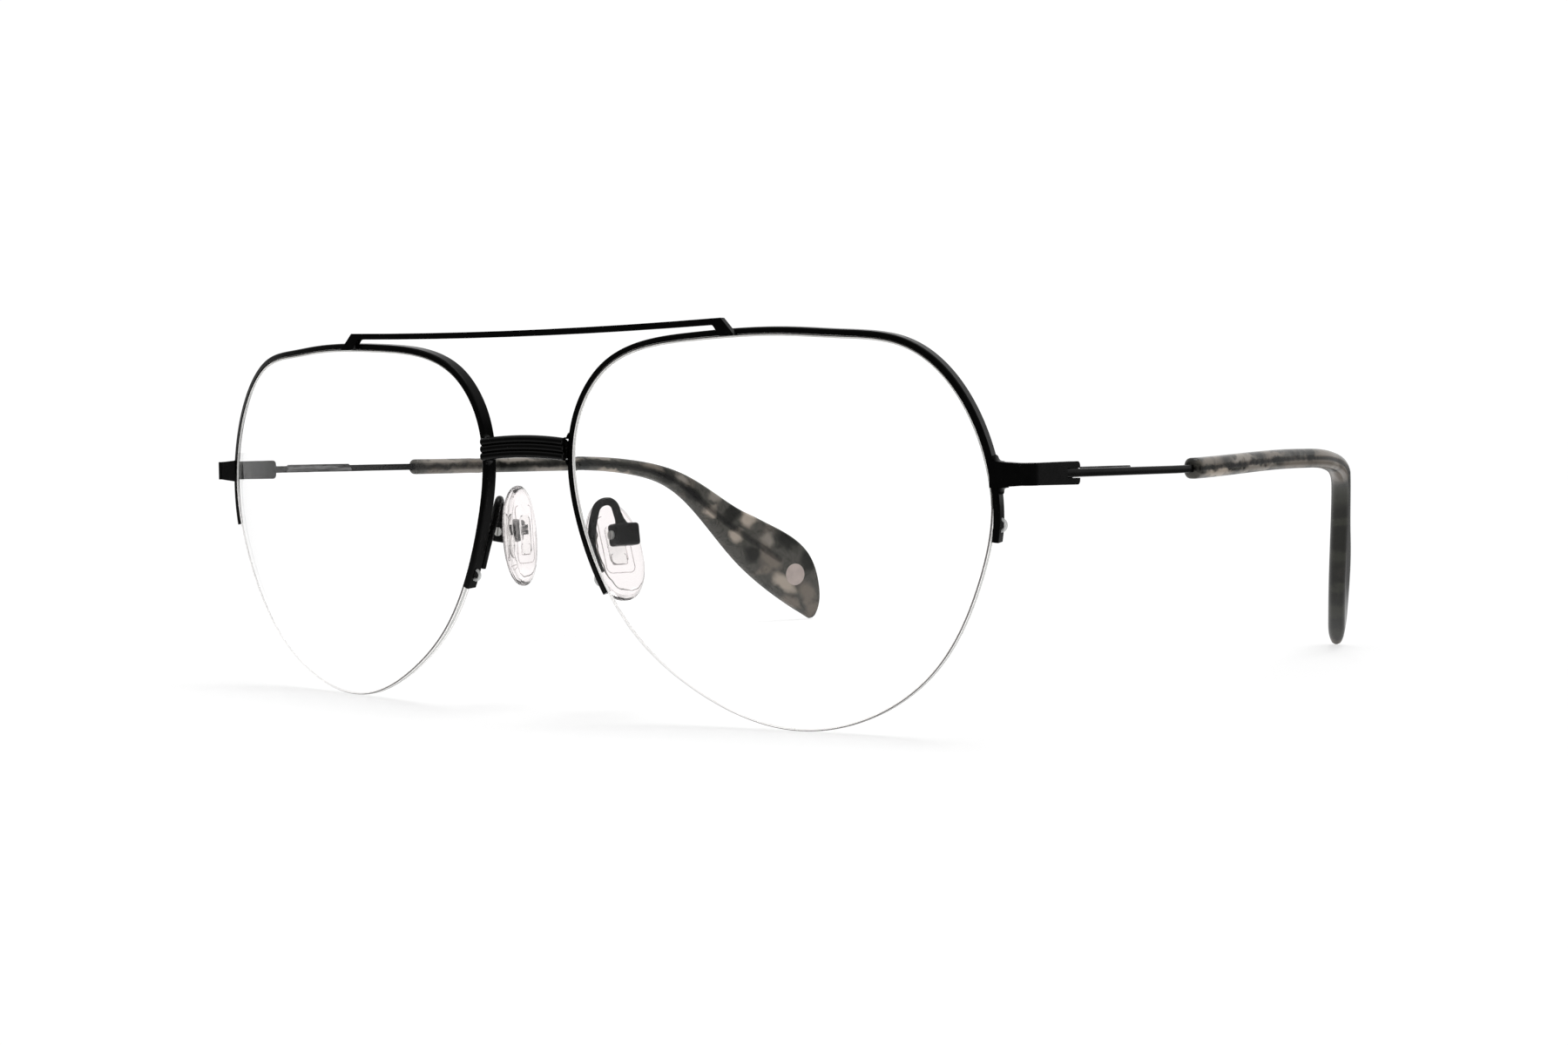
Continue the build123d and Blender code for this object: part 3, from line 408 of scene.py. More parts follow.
def rim_crossing(height, half, depth):
    """Where the rim's outer side has this height above the table, on its nasal or temporal half, and the
    direction up along it."""
    around = outline_at(np.arange(OUTLINE_POINTS), RIM_WIDTH, depth)
    inner = OUTLINE[:, 0] < 0 if half == "nasal" else OUTLINE[:, 0] > 0
    order = np.argsort(around[inner][:, 2])
    line = around[inner][order]
    point = np.array([np.interp(height, line[:, 2], line[:, k]) for k in range(3)])
    above = np.array([np.interp(height + 0.5, line[:, 2], line[:, k]) for k in range(3)])
    return point, unit(above - point)


def solder_shapes():
    """Every solder piece of the left half by name: fillets of bridge and end piece, the bridge's seam with the
    rim, the pad arm's collar and the bead over the wire."""
    shapes = {}
    for name, (height, half, depth, step, sense, wall, deep, size) in FILLETS.items():
        corner, up = rim_crossing(height, half, depth)
        shapes[name] = web_shape(corner + np.array(step), up * sense, wall, (0.0, deep, 0.0), size)
    shapes["bridge_seam"] = seam_shape()
    shapes["arm_collar"] = collar_shape()
    shapes["wire_bead"] = bead_shape()
    return shapes


def seam_shape():
    """Straight round seam where the bridge's ribs end on the rim."""
    low, high = (rim_crossing(height, "nasal", 0.15)[0]
                 for height in (BRIDGE_UNDER + SEAM_SHORT, BRIDGE_TOP - SEAM_SHORT))
    t = np.linspace(0, 1, 12)[:, None]
    return tube(low + (high - low) * t + np.array(SEAM_STEP), SEAM_RADIUS, around=28)


def bead_shape():
    """Brazing that fills the gap over the wire in the block's slot: round, and blunt at both ends."""
    back = np.linspace(WIRE_START + 0.3, BLOCK_END - BEAD_OFF, 16)
    swell = np.sqrt(np.clip(1 - np.linspace(-0.98, 0.98, 16) ** 8, 0, 1))
    return tube(from_side_view(back, 0 * back + BEAD_UP, 0 * back + BEAD_OFF), BEAD_RADIUS * swell, around=24)


def collar_shape():
    """Flared collar where the pad arm enters its box: its radius falls off on a power of the distance."""
    at = np.array(PAD_PIVOT) + ARM_END
    way = unit(np.array(ARM_BEND_LAST) - ARM_END)
    t = np.linspace(0, 1, 14)
    path = at + way * (t[:, None] * COLLAR_LONG - COLLAR_SUNK)
    return tube(path, ARM_RADIUS * (1.03 + COLLAR_FLARE * (1 - t) ** 2.2), around=28)


# ---------------------------------------------------------------- temple sleeves

def plan_of(back):
    """Sideways place and turn of the temple's middle surface at a distance behind the hinge: straight, then an
    arc inwards, then straight along the arc's last direction."""
    turn = np.arcsin(np.clip((back - EAR_BEND) / EAR_RADIUS, 0, math.sin(math.radians(EAR_TURN))))
    past = np.maximum(back - EAR_BEND - EAR_RADIUS * math.sin(math.radians(EAR_TURN)), 0)
    inward = EAR_RADIUS * (1 - np.cos(turn)) + past * math.tan(math.radians(EAR_TURN))
    return WIRE_MIDDLE - inward, turn


def from_side_view(back, up, off):
    """Points of the temple's side view, at a distance off its middle surface, in the drawing's frame."""
    sideways, turn = plan_of(back)
    drop = math.radians(TEMPLE_DROP)
    x = sideways + off / np.cos(turn)
    y = HINGE_Y + back * math.cos(drop) + up * math.sin(drop)
    z = TEMPLE_HEIGHT - back * math.sin(drop) + up * math.cos(drop)
    return np.stack([x, y, z], axis=-1)


def sleeve_edges(half, count):
    """Top and under edge of the sleeve behind the ear bend, in side view, up to the bottom of the tip."""
    tip = np.array([EAR_BEND + SLEEVE_TIP[0], SLEEVE_TIP[1]])
    top = [(EAR_BEND, half)] + [(EAR_BEND + back, up) for back, up in SLEEVE_TOP]
    top += [tuple(tip + TIP_ROUND), tuple(tip + (0.55, 0.12)), tuple(tip)]
    under = [(EAR_BEND, -half)] + [(EAR_BEND + back, up) for back, up in SLEEVE_UNDER] + [tuple(tip)]
    toward = unit(tip - np.array(under[-2]))
    upper, _ = open_spline(top, (1, 0), -toward, count)
    lower, _ = open_spline(under, (1, 0), toward, count)
    return upper, lower


def sleeve_shape(start, tall, thick, edge, swell):
    """Rounded-oblong section carried along the temple: stations join the top and under edges at equal shares
    of their lengths, the front end is drawn in on a quarter circle, and the tip's lower end closes on an oval.
    Behind the bend the sleeve is thicker by a share 'swell'."""
    half, wide = tall / 2, thick / 2
    lead = edge * (1 - np.cos(np.linspace(0, math.pi / 2, 9)))
    straight = np.concatenate([lead, np.linspace(edge, EAR_BEND - start, 40)[1:-1]])
    upper, lower = sleeve_edges(half, 110)
    back = np.concatenate([start + straight, (upper[:, 0] + lower[:, 0]) / 2])
    middle_up = np.concatenate([np.zeros_like(straight), (upper[:, 1] + lower[:, 1]) / 2])
    span = np.concatenate([np.tile([0.0, half], (len(straight), 1)), (upper - lower) / 2])
    drawn_in = edge - np.sqrt(np.maximum(edge**2 - np.maximum(edge - (back - start), 0) ** 2, 0))
    height = np.linalg.norm(span, axis=1)
    direction = span / np.maximum(height, 1e-6)[:, None]
    direction[-1] = direction[-2]
    height = np.maximum(height - drawn_in, 0.02)
    width = np.maximum(wide - drawn_in, 0.02)
    closing = np.clip(height / edge, 0, 1)
    width = width * np.where(back > EAR_BEND, 0.35 + 0.65 * np.sqrt(closing * (2 - closing)), 1)
    above_tip = np.clip((middle_up - SLEEVE_TIP[1]) / 4.6, 0, 1)
    width = width * (0.25 + 0.75 * (1 - (1 - above_tip) ** 2.4) ** 0.5) * (1 + swell * smooth_step(back, 72, 92))
    corner = np.minimum(np.minimum(edge, height), width) * 0.98
    across, round_off, along, round_up = section_round()
    off = across * (width - corner)[:, None] + corner[:, None] * round_off
    rise = along * (height - corner)[:, None] + corner[:, None] * round_up
    side_back = back[:, None] + direction[:, :1] * rise
    side_up = middle_up[:, None] + direction[:, 1:] * rise
    points = from_side_view(side_back, side_up, off)
    core = core_distance(start, side_back, side_up)
    faces = ring_faces(len(back), across.shape[1], flip=True)
    return points.reshape(-1, 3), faces, core.ravel(), side_back.ravel(), side_up.ravel()


def section_round(corner_points=8, side_points=13):
    """Once round a rounded oblong, as shares: of the flat half width and of the corner radius sideways, and of
    the flat half height and of the corner radius upwards. The two broad sides have points all along them."""
    side = np.linspace(-1, 1, side_points + 2)[1:-1]
    shares = []
    for quarter in range(4):
        turn = (quarter + np.linspace(0, 1, corner_points)) * math.pi / 2
        across, up = np.sign(math.cos(turn.mean())), np.sign(math.sin(turn.mean()))
        same = np.ones_like(turn)
        shares.append(np.stack([across * same, np.cos(turn), up * same, np.sin(turn)]))
        if quarter in (1, 3):
            flat = side if quarter == 3 else -side
            shares.append(np.stack([across + 0 * side, across + 0 * side, flat, 0 * side]))
    return [row[None, :] for row in np.concatenate(shares, axis=1)]


def settled(points, back, up):
    """The left sleeve as it has been adjusted by hand: bowed up and in a little before the bend, and its tip
    turned out and leaning in towards the head below."""
    start = SLEEVE_START["left"]
    bow = SLEEVE_BOW * smooth_step(back, start - 6, 74) * (1 - smooth_step(back, 86, 122))
    lean = SLEEVE_TURNED_OUT * np.maximum(back - 88, 0) - SLEEVE_LEANT_IN * np.maximum(-up - 2, 0)
    return points + np.stack([lean - SLEEVE_IN * smooth_step(back, start, 90), 0 * bow, bow], axis=-1)


def disc_shape(radius):
    """Bare round inlay, a little domed, standing just proud of the inner face of the right tip."""
    turn, drop, inner = math.radians(EAR_TURN), math.radians(TEMPLE_DROP), EAR_RADIUS - 1.15
    sideways = WIRE_MIDDLE - EAR_RADIUS + inner * math.cos(turn) - DISC_BACK * math.sin(turn)
    back = EAR_BEND + inner * math.sin(turn) + DISC_BACK * math.cos(turn)
    at = np.array([sideways, HINGE_Y + back * math.cos(drop) + DISC_UP * math.sin(drop),
                   TEMPLE_HEIGHT - back * math.sin(drop) + DISC_UP * math.cos(drop)])
    out, side = np.array([-math.cos(turn), -math.sin(turn), 0]), np.array([-math.sin(turn), math.cos(turn), 0])
    reach = radius * np.array([0.97, 1.0, 1.0, 0.97, 0.9, 0.7, 0.4, 0.05])
    rise = np.array([-0.2, -0.1, 0.02, 0.06, 0.07, 0.085, 0.1, DISC_DOME])
    spin = np.linspace(0, 2 * math.pi, 48, endpoint=False)[None, :, None]
    turn = np.cos(spin) * side + np.sin(spin) * [0, 0, 1.0]
    points = at + rise[:, None, None] * out + reach[:, None, None] * turn
    return points.reshape(-1, 3), ring_faces(len(reach), 48)


def wire_shape():
    """Square wire of the left temple, with rounded corners, which bows up with its sleeve."""
    back = np.linspace(WIRE_START, WIRE_END, 60)[:, None]
    turn = (np.linspace(0, 2 * math.pi, 24, endpoint=False) + math.pi / 24)[None, :]
    off, up = (np.sign(way) * (WIRE / 2 - WIRE_CORNER) + WIRE_CORNER * way + 0 * back
               for way in (np.cos(turn), np.sin(turn)))
    back = back + 0 * turn
    points = settled(from_side_view(back, up, off).reshape(-1, 3), back.ravel(), up.ravel())
    faces = ring_faces(60, 24)
    return points, turned(faces, signed_volume(points, faces) < 0)


def smooth_step(value, low, high):
    """Nought up to the low end, one from the high end, and between them 3t^2 - 2t^3 of the share t of the way."""
    share = np.clip((value - low) / (high - low), 0, 1)
    return share * share * (3 - 2 * share)


def core_distance(start, back, up):
    """Distance in side view from the wire inside the sleeve."""
    bend, _ = open_spline([(EAR_BEND, 0.0)] + [(EAR_BEND + b, u) for b, u in CORE_LINE], (1, 0), (0.82, -0.57), 120)
    line = np.vstack([[(k, 0.0) for k in np.linspace(start, EAR_BEND, 60)], bend])
    flat = np.stack([back.ravel(), up.ravel()], axis=1)
    gap = np.linalg.norm(flat[:, None] - line[None], axis=2).min(axis=1)
    return gap.reshape(back.shape)


# ---------------------------------------------------------------- nose pads

def pad_axes(side):
    """Pivot, up, screw and nose directions of a pad at rest."""
    splay, lean = math.radians(PAD_SPLAY[side]), math.radians(PAD_LEAN + PAD_REST[side])
    up = np.array([-math.sin(lean) * math.cos(splay), math.sin(lean) * math.sin(splay), math.cos(lean)])
    screw = np.array([math.sin(splay), math.cos(splay), 0])
    return np.array(PAD_PIVOT), up, screw, np.cross(up, screw)


def pad_shape(side, rings=34, around=72):
    """Soft oval pad. With a latitude from back to front, the reach is a power of its cosine, small at the back
    for a flat face and larger in front for a domed one, and the height is its sine. The outline is an oval."""
    latitude = np.linspace(-math.pi / 2, math.pi / 2, rings)[1:-1, None]
    turn = np.linspace(0, 2 * math.pi, around, endpoint=False)[None, :]
    front = latitude > 0
    reach = np.cos(latitude) ** np.where(front, 0.62, 0.32)
    domed = np.where(front, 1 - PAD_WIDEST, PAD_WIDEST - 0.02)
    height = (PAD_WIDEST + domed * np.sin(latitude)) * PAD_THICK
    squash = 1 / (np.abs(np.cos(turn)) ** 2.25 + np.abs(np.sin(turn)) ** 2.25) ** (1 / 2.25)
    along = reach * squash * np.cos(turn) * PAD_TALL / 2 - PAD_BELOW[side]
    across = reach * squash * np.sin(turn) * PAD_WIDE / 2 + PAD_BEHIND[side]
    pivot, up, screw, nose = pad_axes(side)
    height = np.broadcast_to(height + PAD_FROM_PIVOT, along.shape)
    points = pivot + along[..., None] * up + across[..., None] * screw + height[..., None] * nose
    middle = (latitude[1:, 0] + latitude[:-1, 0]) / 2
    # Two bands round the pad get the painted shade of its rounded edges.
    edge = (np.abs(middle - 0.42) < 0.07) | (np.abs(middle + 0.6) < 0.07)
    slots = np.concatenate([np.repeat(edge, around), [False, False]]).astype(int)
    return points.reshape(-1, 3), ring_faces(rings - 2, around), slots


def insert_shape(side):
    """Outline of the hard insert inside the pad: fine ribs round a rounded oblong, and round a smaller one in
    its lower half."""
    pivot, up, screw, nose = pad_axes(side)
    ribs = []
    for low, high, half, radius in INSERT_RIBS:
        turn = np.linspace(0, 2 * math.pi, 64, endpoint=False) + math.pi / 64
        tall, middle = (high - low) / 2, (high + low) / 2
        along = middle + np.sign(np.cos(turn)) * (tall - radius) + radius * np.cos(turn)
        across = np.sign(np.sin(turn)) * (half - radius) + radius * np.sin(turn)
        path = pivot + along[:, None] * up + across[:, None] * screw + (PAD_FROM_PIVOT + INSERT_DEEP) * nose
        ribs.append(tube(path, INSERT_RIB, around=8))
    return join(*ribs)


# ---------------------------------------------------------------- materials

# EDGE_GLOW is the colour of the painted glow that the ground lens edges and the nylon give off, though they are no
# lamps.
PAD_IOR, EDGE_GLOW, SIDE_WOBBLE = 1.41, (1.0, 0.98, 0.97, 1.0), 2.2
# Tone along the wire inside each sleeve, by distance from it.
CORE_SHADE = {"left": ((0.08, 0.04), (0.2, 0.25), (0.42, 1.0)), "right": ((0.1, 0.2), (0.4, 0.42), (0.8, 1.0))}


def material(name, **sockets):
    """New material with one plain shader, whose sockets are set by name. Returns its node tree and the shader."""
    made = bpy.data.materials.new(name)
    made.use_nodes = True
    shader = made.node_tree.nodes["Principled BSDF"]
    for socket, value in sockets.items():
        shader.inputs[socket.replace("_", " ")].default_value = value
    return made.node_tree, shader


def add(tree, kind, *places, **values):
    """New shader node. Each input, given by place or by name, gets a plain value or the socket that feeds it."""
    node = tree.nodes.new(f"ShaderNode{kind}")
    for socket, value in [*enumerate(places), *values.items()]:
        if isinstance(value, bpy.types.NodeSocket):
            tree.links.new(value, node.inputs[socket])
        elif value is not None:
            node.inputs[socket].default_value = value
    return node


def vector_math(tree, operation, *inputs, output="Vector"):
    """Result of a vector operation on sockets or plain vectors."""
    node = add(tree, "VectorMath", *inputs)
    node.operation = operation
    return node.outputs[output]


def noise(tree, scale, detail=3.0, rough=0.5, distortion=0.0, stretch=None):
    """Noise on object coordinates, stretched along an axis where asked."""
    place = add(tree, "TexCoord").outputs["Object"]
    if stretch is not None:
        place = add(tree, "Mapping", Vector=place, Scale=stretch).outputs["Vector"]
    return add(tree, "TexNoise", Vector=place, Scale=scale, Detail=detail, Roughness=rough, Distortion=distortion)


def ramp(tree, source, stops):
    """Colour that runs smoothly through the given (value, colour) stops."""
    made = add(tree, "ValToRGB", Fac=source)
    made.color_ramp.interpolation = "EASE"
    elements = made.color_ramp.elements
    while len(elements) < len(stops):
        elements.new(0.5)
    for element, (place, colour) in zip(elements, stops):
        element.position = place
        element.color = (*colour, 1.0)
    return made.outputs["Color"]


def grey(value):
    """Colour with the same value three times."""
    return (value, value, value)


def scaled(colour, share):
    """Colour with each part multiplied by a share."""
    return tuple(share * part for part in colour)


def vary(tree, shader, socket, pattern, low, high, at=(0.3, 0.7)):
    """Runs a shader socket from one colour to another while a pattern goes from one of its values to another."""
    tree.links.new(ramp(tree, pattern.outputs["Fac"], [(at[0], low), (at[1], high)]), shader.inputs[socket])


def add_bump(tree, shader, pattern, strength, distance):
    """Raises the surface's shading by a pattern."""
    bump = add(tree, "Bump", Strength=strength, Distance=distance, Height=pattern.outputs["Fac"])
    tree.links.new(bump.outputs["Normal"], shader.inputs["Normal"])


def mix_colour(tree, amount, under, over, blend="MIX"):
    """Colour mix of two inputs; each is a socket or a plain colour."""
    mixed = tree.nodes.new("ShaderNodeMix")
    mixed.data_type = "RGBA"
    mixed.blend_type = blend
    for socket, value in (("Factor", amount), ("A", under), ("B", over)):
        if isinstance(value, bpy.types.NodeSocket):
            tree.links.new(value, mixed.inputs[socket])
        elif isinstance(value, float):
            mixed.inputs[socket].default_value = value
        else:
            mixed.inputs[socket].default_value = (*value, 1)
    return mixed.outputs["Result"]


def black_lacquer(settings):
    """Satin black lacquer on metal: a fine orange-peel skin, and gloss that varies a little."""
    tree, shader = material("black_lacquer", Specular_IOR_Level=settings.lacquer_gloss)
    black, matt = settings.lacquer_colour, settings.lacquer_roughness
    vary(tree, shader, "Base Color", noise(tree, 900, detail=2), black, scaled(black, 1.6), (0.3, 0.75))
    vary(tree, shader, "Roughness", noise(tree, 500, detail=4), grey(0.85 * matt), grey(1.15 * matt))
    add_bump(tree, shader, noise(tree, 6000, detail=2), 0.06, 0.00002)


def bright_steel():
    """Turned steel of screws, with fine turning marks."""
    tree, shader = material("bright_steel", Metallic=1.0, Base_Color=(0.34, 0.33, 0.31, 1))
    vary(tree, shader, "Roughness", noise(tree, 5000, detail=2), grey(0.16), grey(0.30))


def lens_polish(settings):
    """Polished, coated clear face of a lens blank, with a breath of unevenness in its gloss."""
    tree, shader = material("lens_polish", Base_Color=(*settings.lens_colour, 1), Roughness=0.0, IOR=1.5,
                            Transmission_Weight=1.0, Specular_Tint=(0.3, 0.3, 0.3, 1))
    vary(tree, shader, "Roughness", noise(tree, 60), grey(0.0), grey(0.008), (0.35, 0.8))


def lens_ground_edge(settings):
    """Ground lens edge: whitish, half clear, with fine grinding lines, and a painted glow of its own that stands in
    for the light that the lens gathers."""
    tree, shader = material("lens_ground_edge", IOR=1.5, Transmission_Weight=0.45, Emission_Color=EDGE_GLOW,
                            Emission_Strength=settings.painted_edge_glow)
    lines, edge = noise(tree, 4000), settings.lens_edge_colour
    vary(tree, shader, "Base Color", lines, scaled(edge, 0.93), edge)
    vary(tree, shader, "Roughness", lines, grey(0.25), grey(0.4))


def lens_bevel(settings):
    """Narrow bevels between the polished faces and the ground edge, painted dark grey: painted shade for the thin grey
    lines that refraction shows there.
    """
    tree, shader = material("lens_bevel", IOR=1.5, Transmission_Weight=0.1)
    lines, edge = noise(tree, 3000, detail=2), settings.lens_bevel_shade_colour
    vary(tree, shader, "Base Color", lines, scaled(edge, 0.8), edge)
    vary(tree, shader, "Roughness", lines, grey(0.2), grey(0.35))


def clear_nylon(name, settings):
    """Clear nylon, faintly milky, with a painted glow like that of the ground lens edge."""
    tree, shader = material(name, Base_Color=(*settings.nylon_colour, 1), IOR=1.53, Transmission_Weight=0.6,
                            Emission_Color=EDGE_GLOW, Emission_Strength=settings.painted_edge_glow * 0.8)
    vary(tree, shader, "Roughness", noise(tree, 1500, detail=2), grey(0.15), grey(0.3))


def clear_silicone(settings):
    """Clear soft silicone with a faint warm tint and slight waviness."""
    tree, shader = material("clear_silicone", Base_Color=(*settings.pad_colour, 1), IOR=PAD_IOR,
                            Transmission_Weight=1.0)
    vary(tree, shader, "Roughness", noise(tree, 400), grey(0.02), grey(0.10), (0.3, 0.8))
    add_bump(tree, shader, noise(tree, 260, detail=2), 0.3, 0.0006)


def pad_edge_painted_shade():
    """Rounded edges of the pad and of its insert, where the clear plastic looks darker: painted shade, a darker colour
    in place of what these edges bend into view.
    """
    tree, shader = material("pad_edge_painted_shade", IOR=PAD_IOR, Transmission_Weight=0.9)
    waves = noise(tree, 700, detail=2)
    vary(tree, shader, "Base Color", waves, (0.60, 0.57, 0.57), (0.80, 0.77, 0.76))
    vary(tree, shader, "Roughness", waves, grey(0.05), grey(0.15), (0.3, 0.8))


def clear_core():
    """Clear hard plastic of the pad's insert."""
    tree, shader = material("clear_core", Base_Color=(0.93, 0.93, 0.92, 1), IOR=1.5, Transmission_Weight=1.0)
    vary(tree, shader, "Roughness", noise(tree, 900, detail=2), grey(0.02), grey(0.06), (0.3, 0.8))


def side_place(tree, wobble):
    """Place on the sleeve's side view in millimetres, (behind the hinge, above the axis), shaken by noise so
    that what is drawn on it has soft uneven edges."""
    uv = add(tree, "UVMap")
    uv.uv_map = "UVMap"
    place = vector_math(tree, "MULTIPLY_ADD", uv.outputs["UV"], (100, 100, 0), (0, -50, 0))
    shake = noise(tree, 420, detail=2.5, rough=0.55).outputs["Color"]
    centred = vector_math(tree, "SUBTRACT", shake, (0.5, 0.5, 0.5))
    return vector_math(tree, "MULTIPLY_ADD", centred, (wobble, wobble, 0), place)


def cloud(tree, place, back, up, long, tall, lean):
    """Soft oval mask, full in its middle, from its place, half sizes and lean on the side view."""
    local = add(tree, "Mapping", Vector=place, Location=(back, up, 0), Rotation=(0, 0, math.radians(lean)),
                Scale=(long, tall, 1))
    local.vector_type = "TEXTURE"
    far = vector_math(tree, "LENGTH", local.outputs["Vector"], output="Value")
    return ramp(tree, far, [(0.35, grey(1.0)), (1.0, grey(0.0))])


def marbled_acetate(side, settings):
    """Marbled acetate of one sleeve: soft clouds of dark and mid grey from broad noise, with the larger cream,
    brown and dark clouds set one by one, under a polished surface. The wire inside shows as a dark line."""
    tree, shader = material(f"marbled_acetate_{side}", Roughness=0.2, IOR=1.47, Specular_IOR_Level=0.2)
    size, dark, mid = 1 / settings.marble_size, settings.acetate_dark, settings.acetate_grey
    broad = noise(tree, size * 0.45, detail=2, distortion=0.4)
    tones = (dark, mid, dark if side == "left" else mid, settings.acetate_brown)
    colour = ramp(tree, broad.outputs["Fac"], list(zip((0.34, 0.46, 0.56, 0.68), tones)))
    veins = noise(tree, size * 1.3, rough=0.6, distortion=1.2)
    thin = ramp(tree, veins.outputs["Fac"], [(0.455, grey(0.0)), (0.5, grey(0.45)), (0.545, grey(0.0))])
    colour = mix_colour(tree, thin, colour, dark)
    place = side_place(tree, SIDE_WOBBLE)
    for back, up, long, tall, lean, tone in CLOUDS[side]:
        mask = cloud(tree, place, back, up, long, tall, lean)
        colour = mix_colour(tree, mask, colour, getattr(settings, f"acetate_{tone}"))
    core = add(tree, "Attribute")
    core.attribute_name = "core_distance"
    line = ramp(tree, core.outputs["Fac"], [(at, grey(tone)) for at, tone in CORE_SHADE[side]])
    tree.links.new(mix_colour(tree, 1.0, colour, line, "MULTIPLY"), shader.inputs["Base Color"])


def streaked_plate():
    """Dark strip with fine pale streaks in its colour along the temple."""
    tree, shader = material("streaked_plate", Specular_IOR_Level=0.4, Roughness=0.35)
    streaks = noise(tree, 900, rough=0.7, stretch=(1, 0.12, 2.5))
    vary(tree, shader, "Base Color", streaks, grey(0.01), grey(0.28), (0.40, 0.62))


def satin_inlay(settings):
    """Bare round inlay: satin pale metal-like plastic with a soft grain."""
    tree, shader = material("satin_inlay")
    pale = settings.inlay_colour
    vary(tree, shader, "Base Color", noise(tree, 700, detail=4), scaled(pale, 0.85), pale)
    vary(tree, shader, "Roughness", noise(tree, 2500, detail=2), grey(0.35), grey(0.5))


def dress_node(name, made):
    """Gives a CAD node its finish."""
    node = frame["nodes"][name]
    node.data.materials.clear()
    node.data.materials.append(made)


# ---------------------------------------------------------------- settings

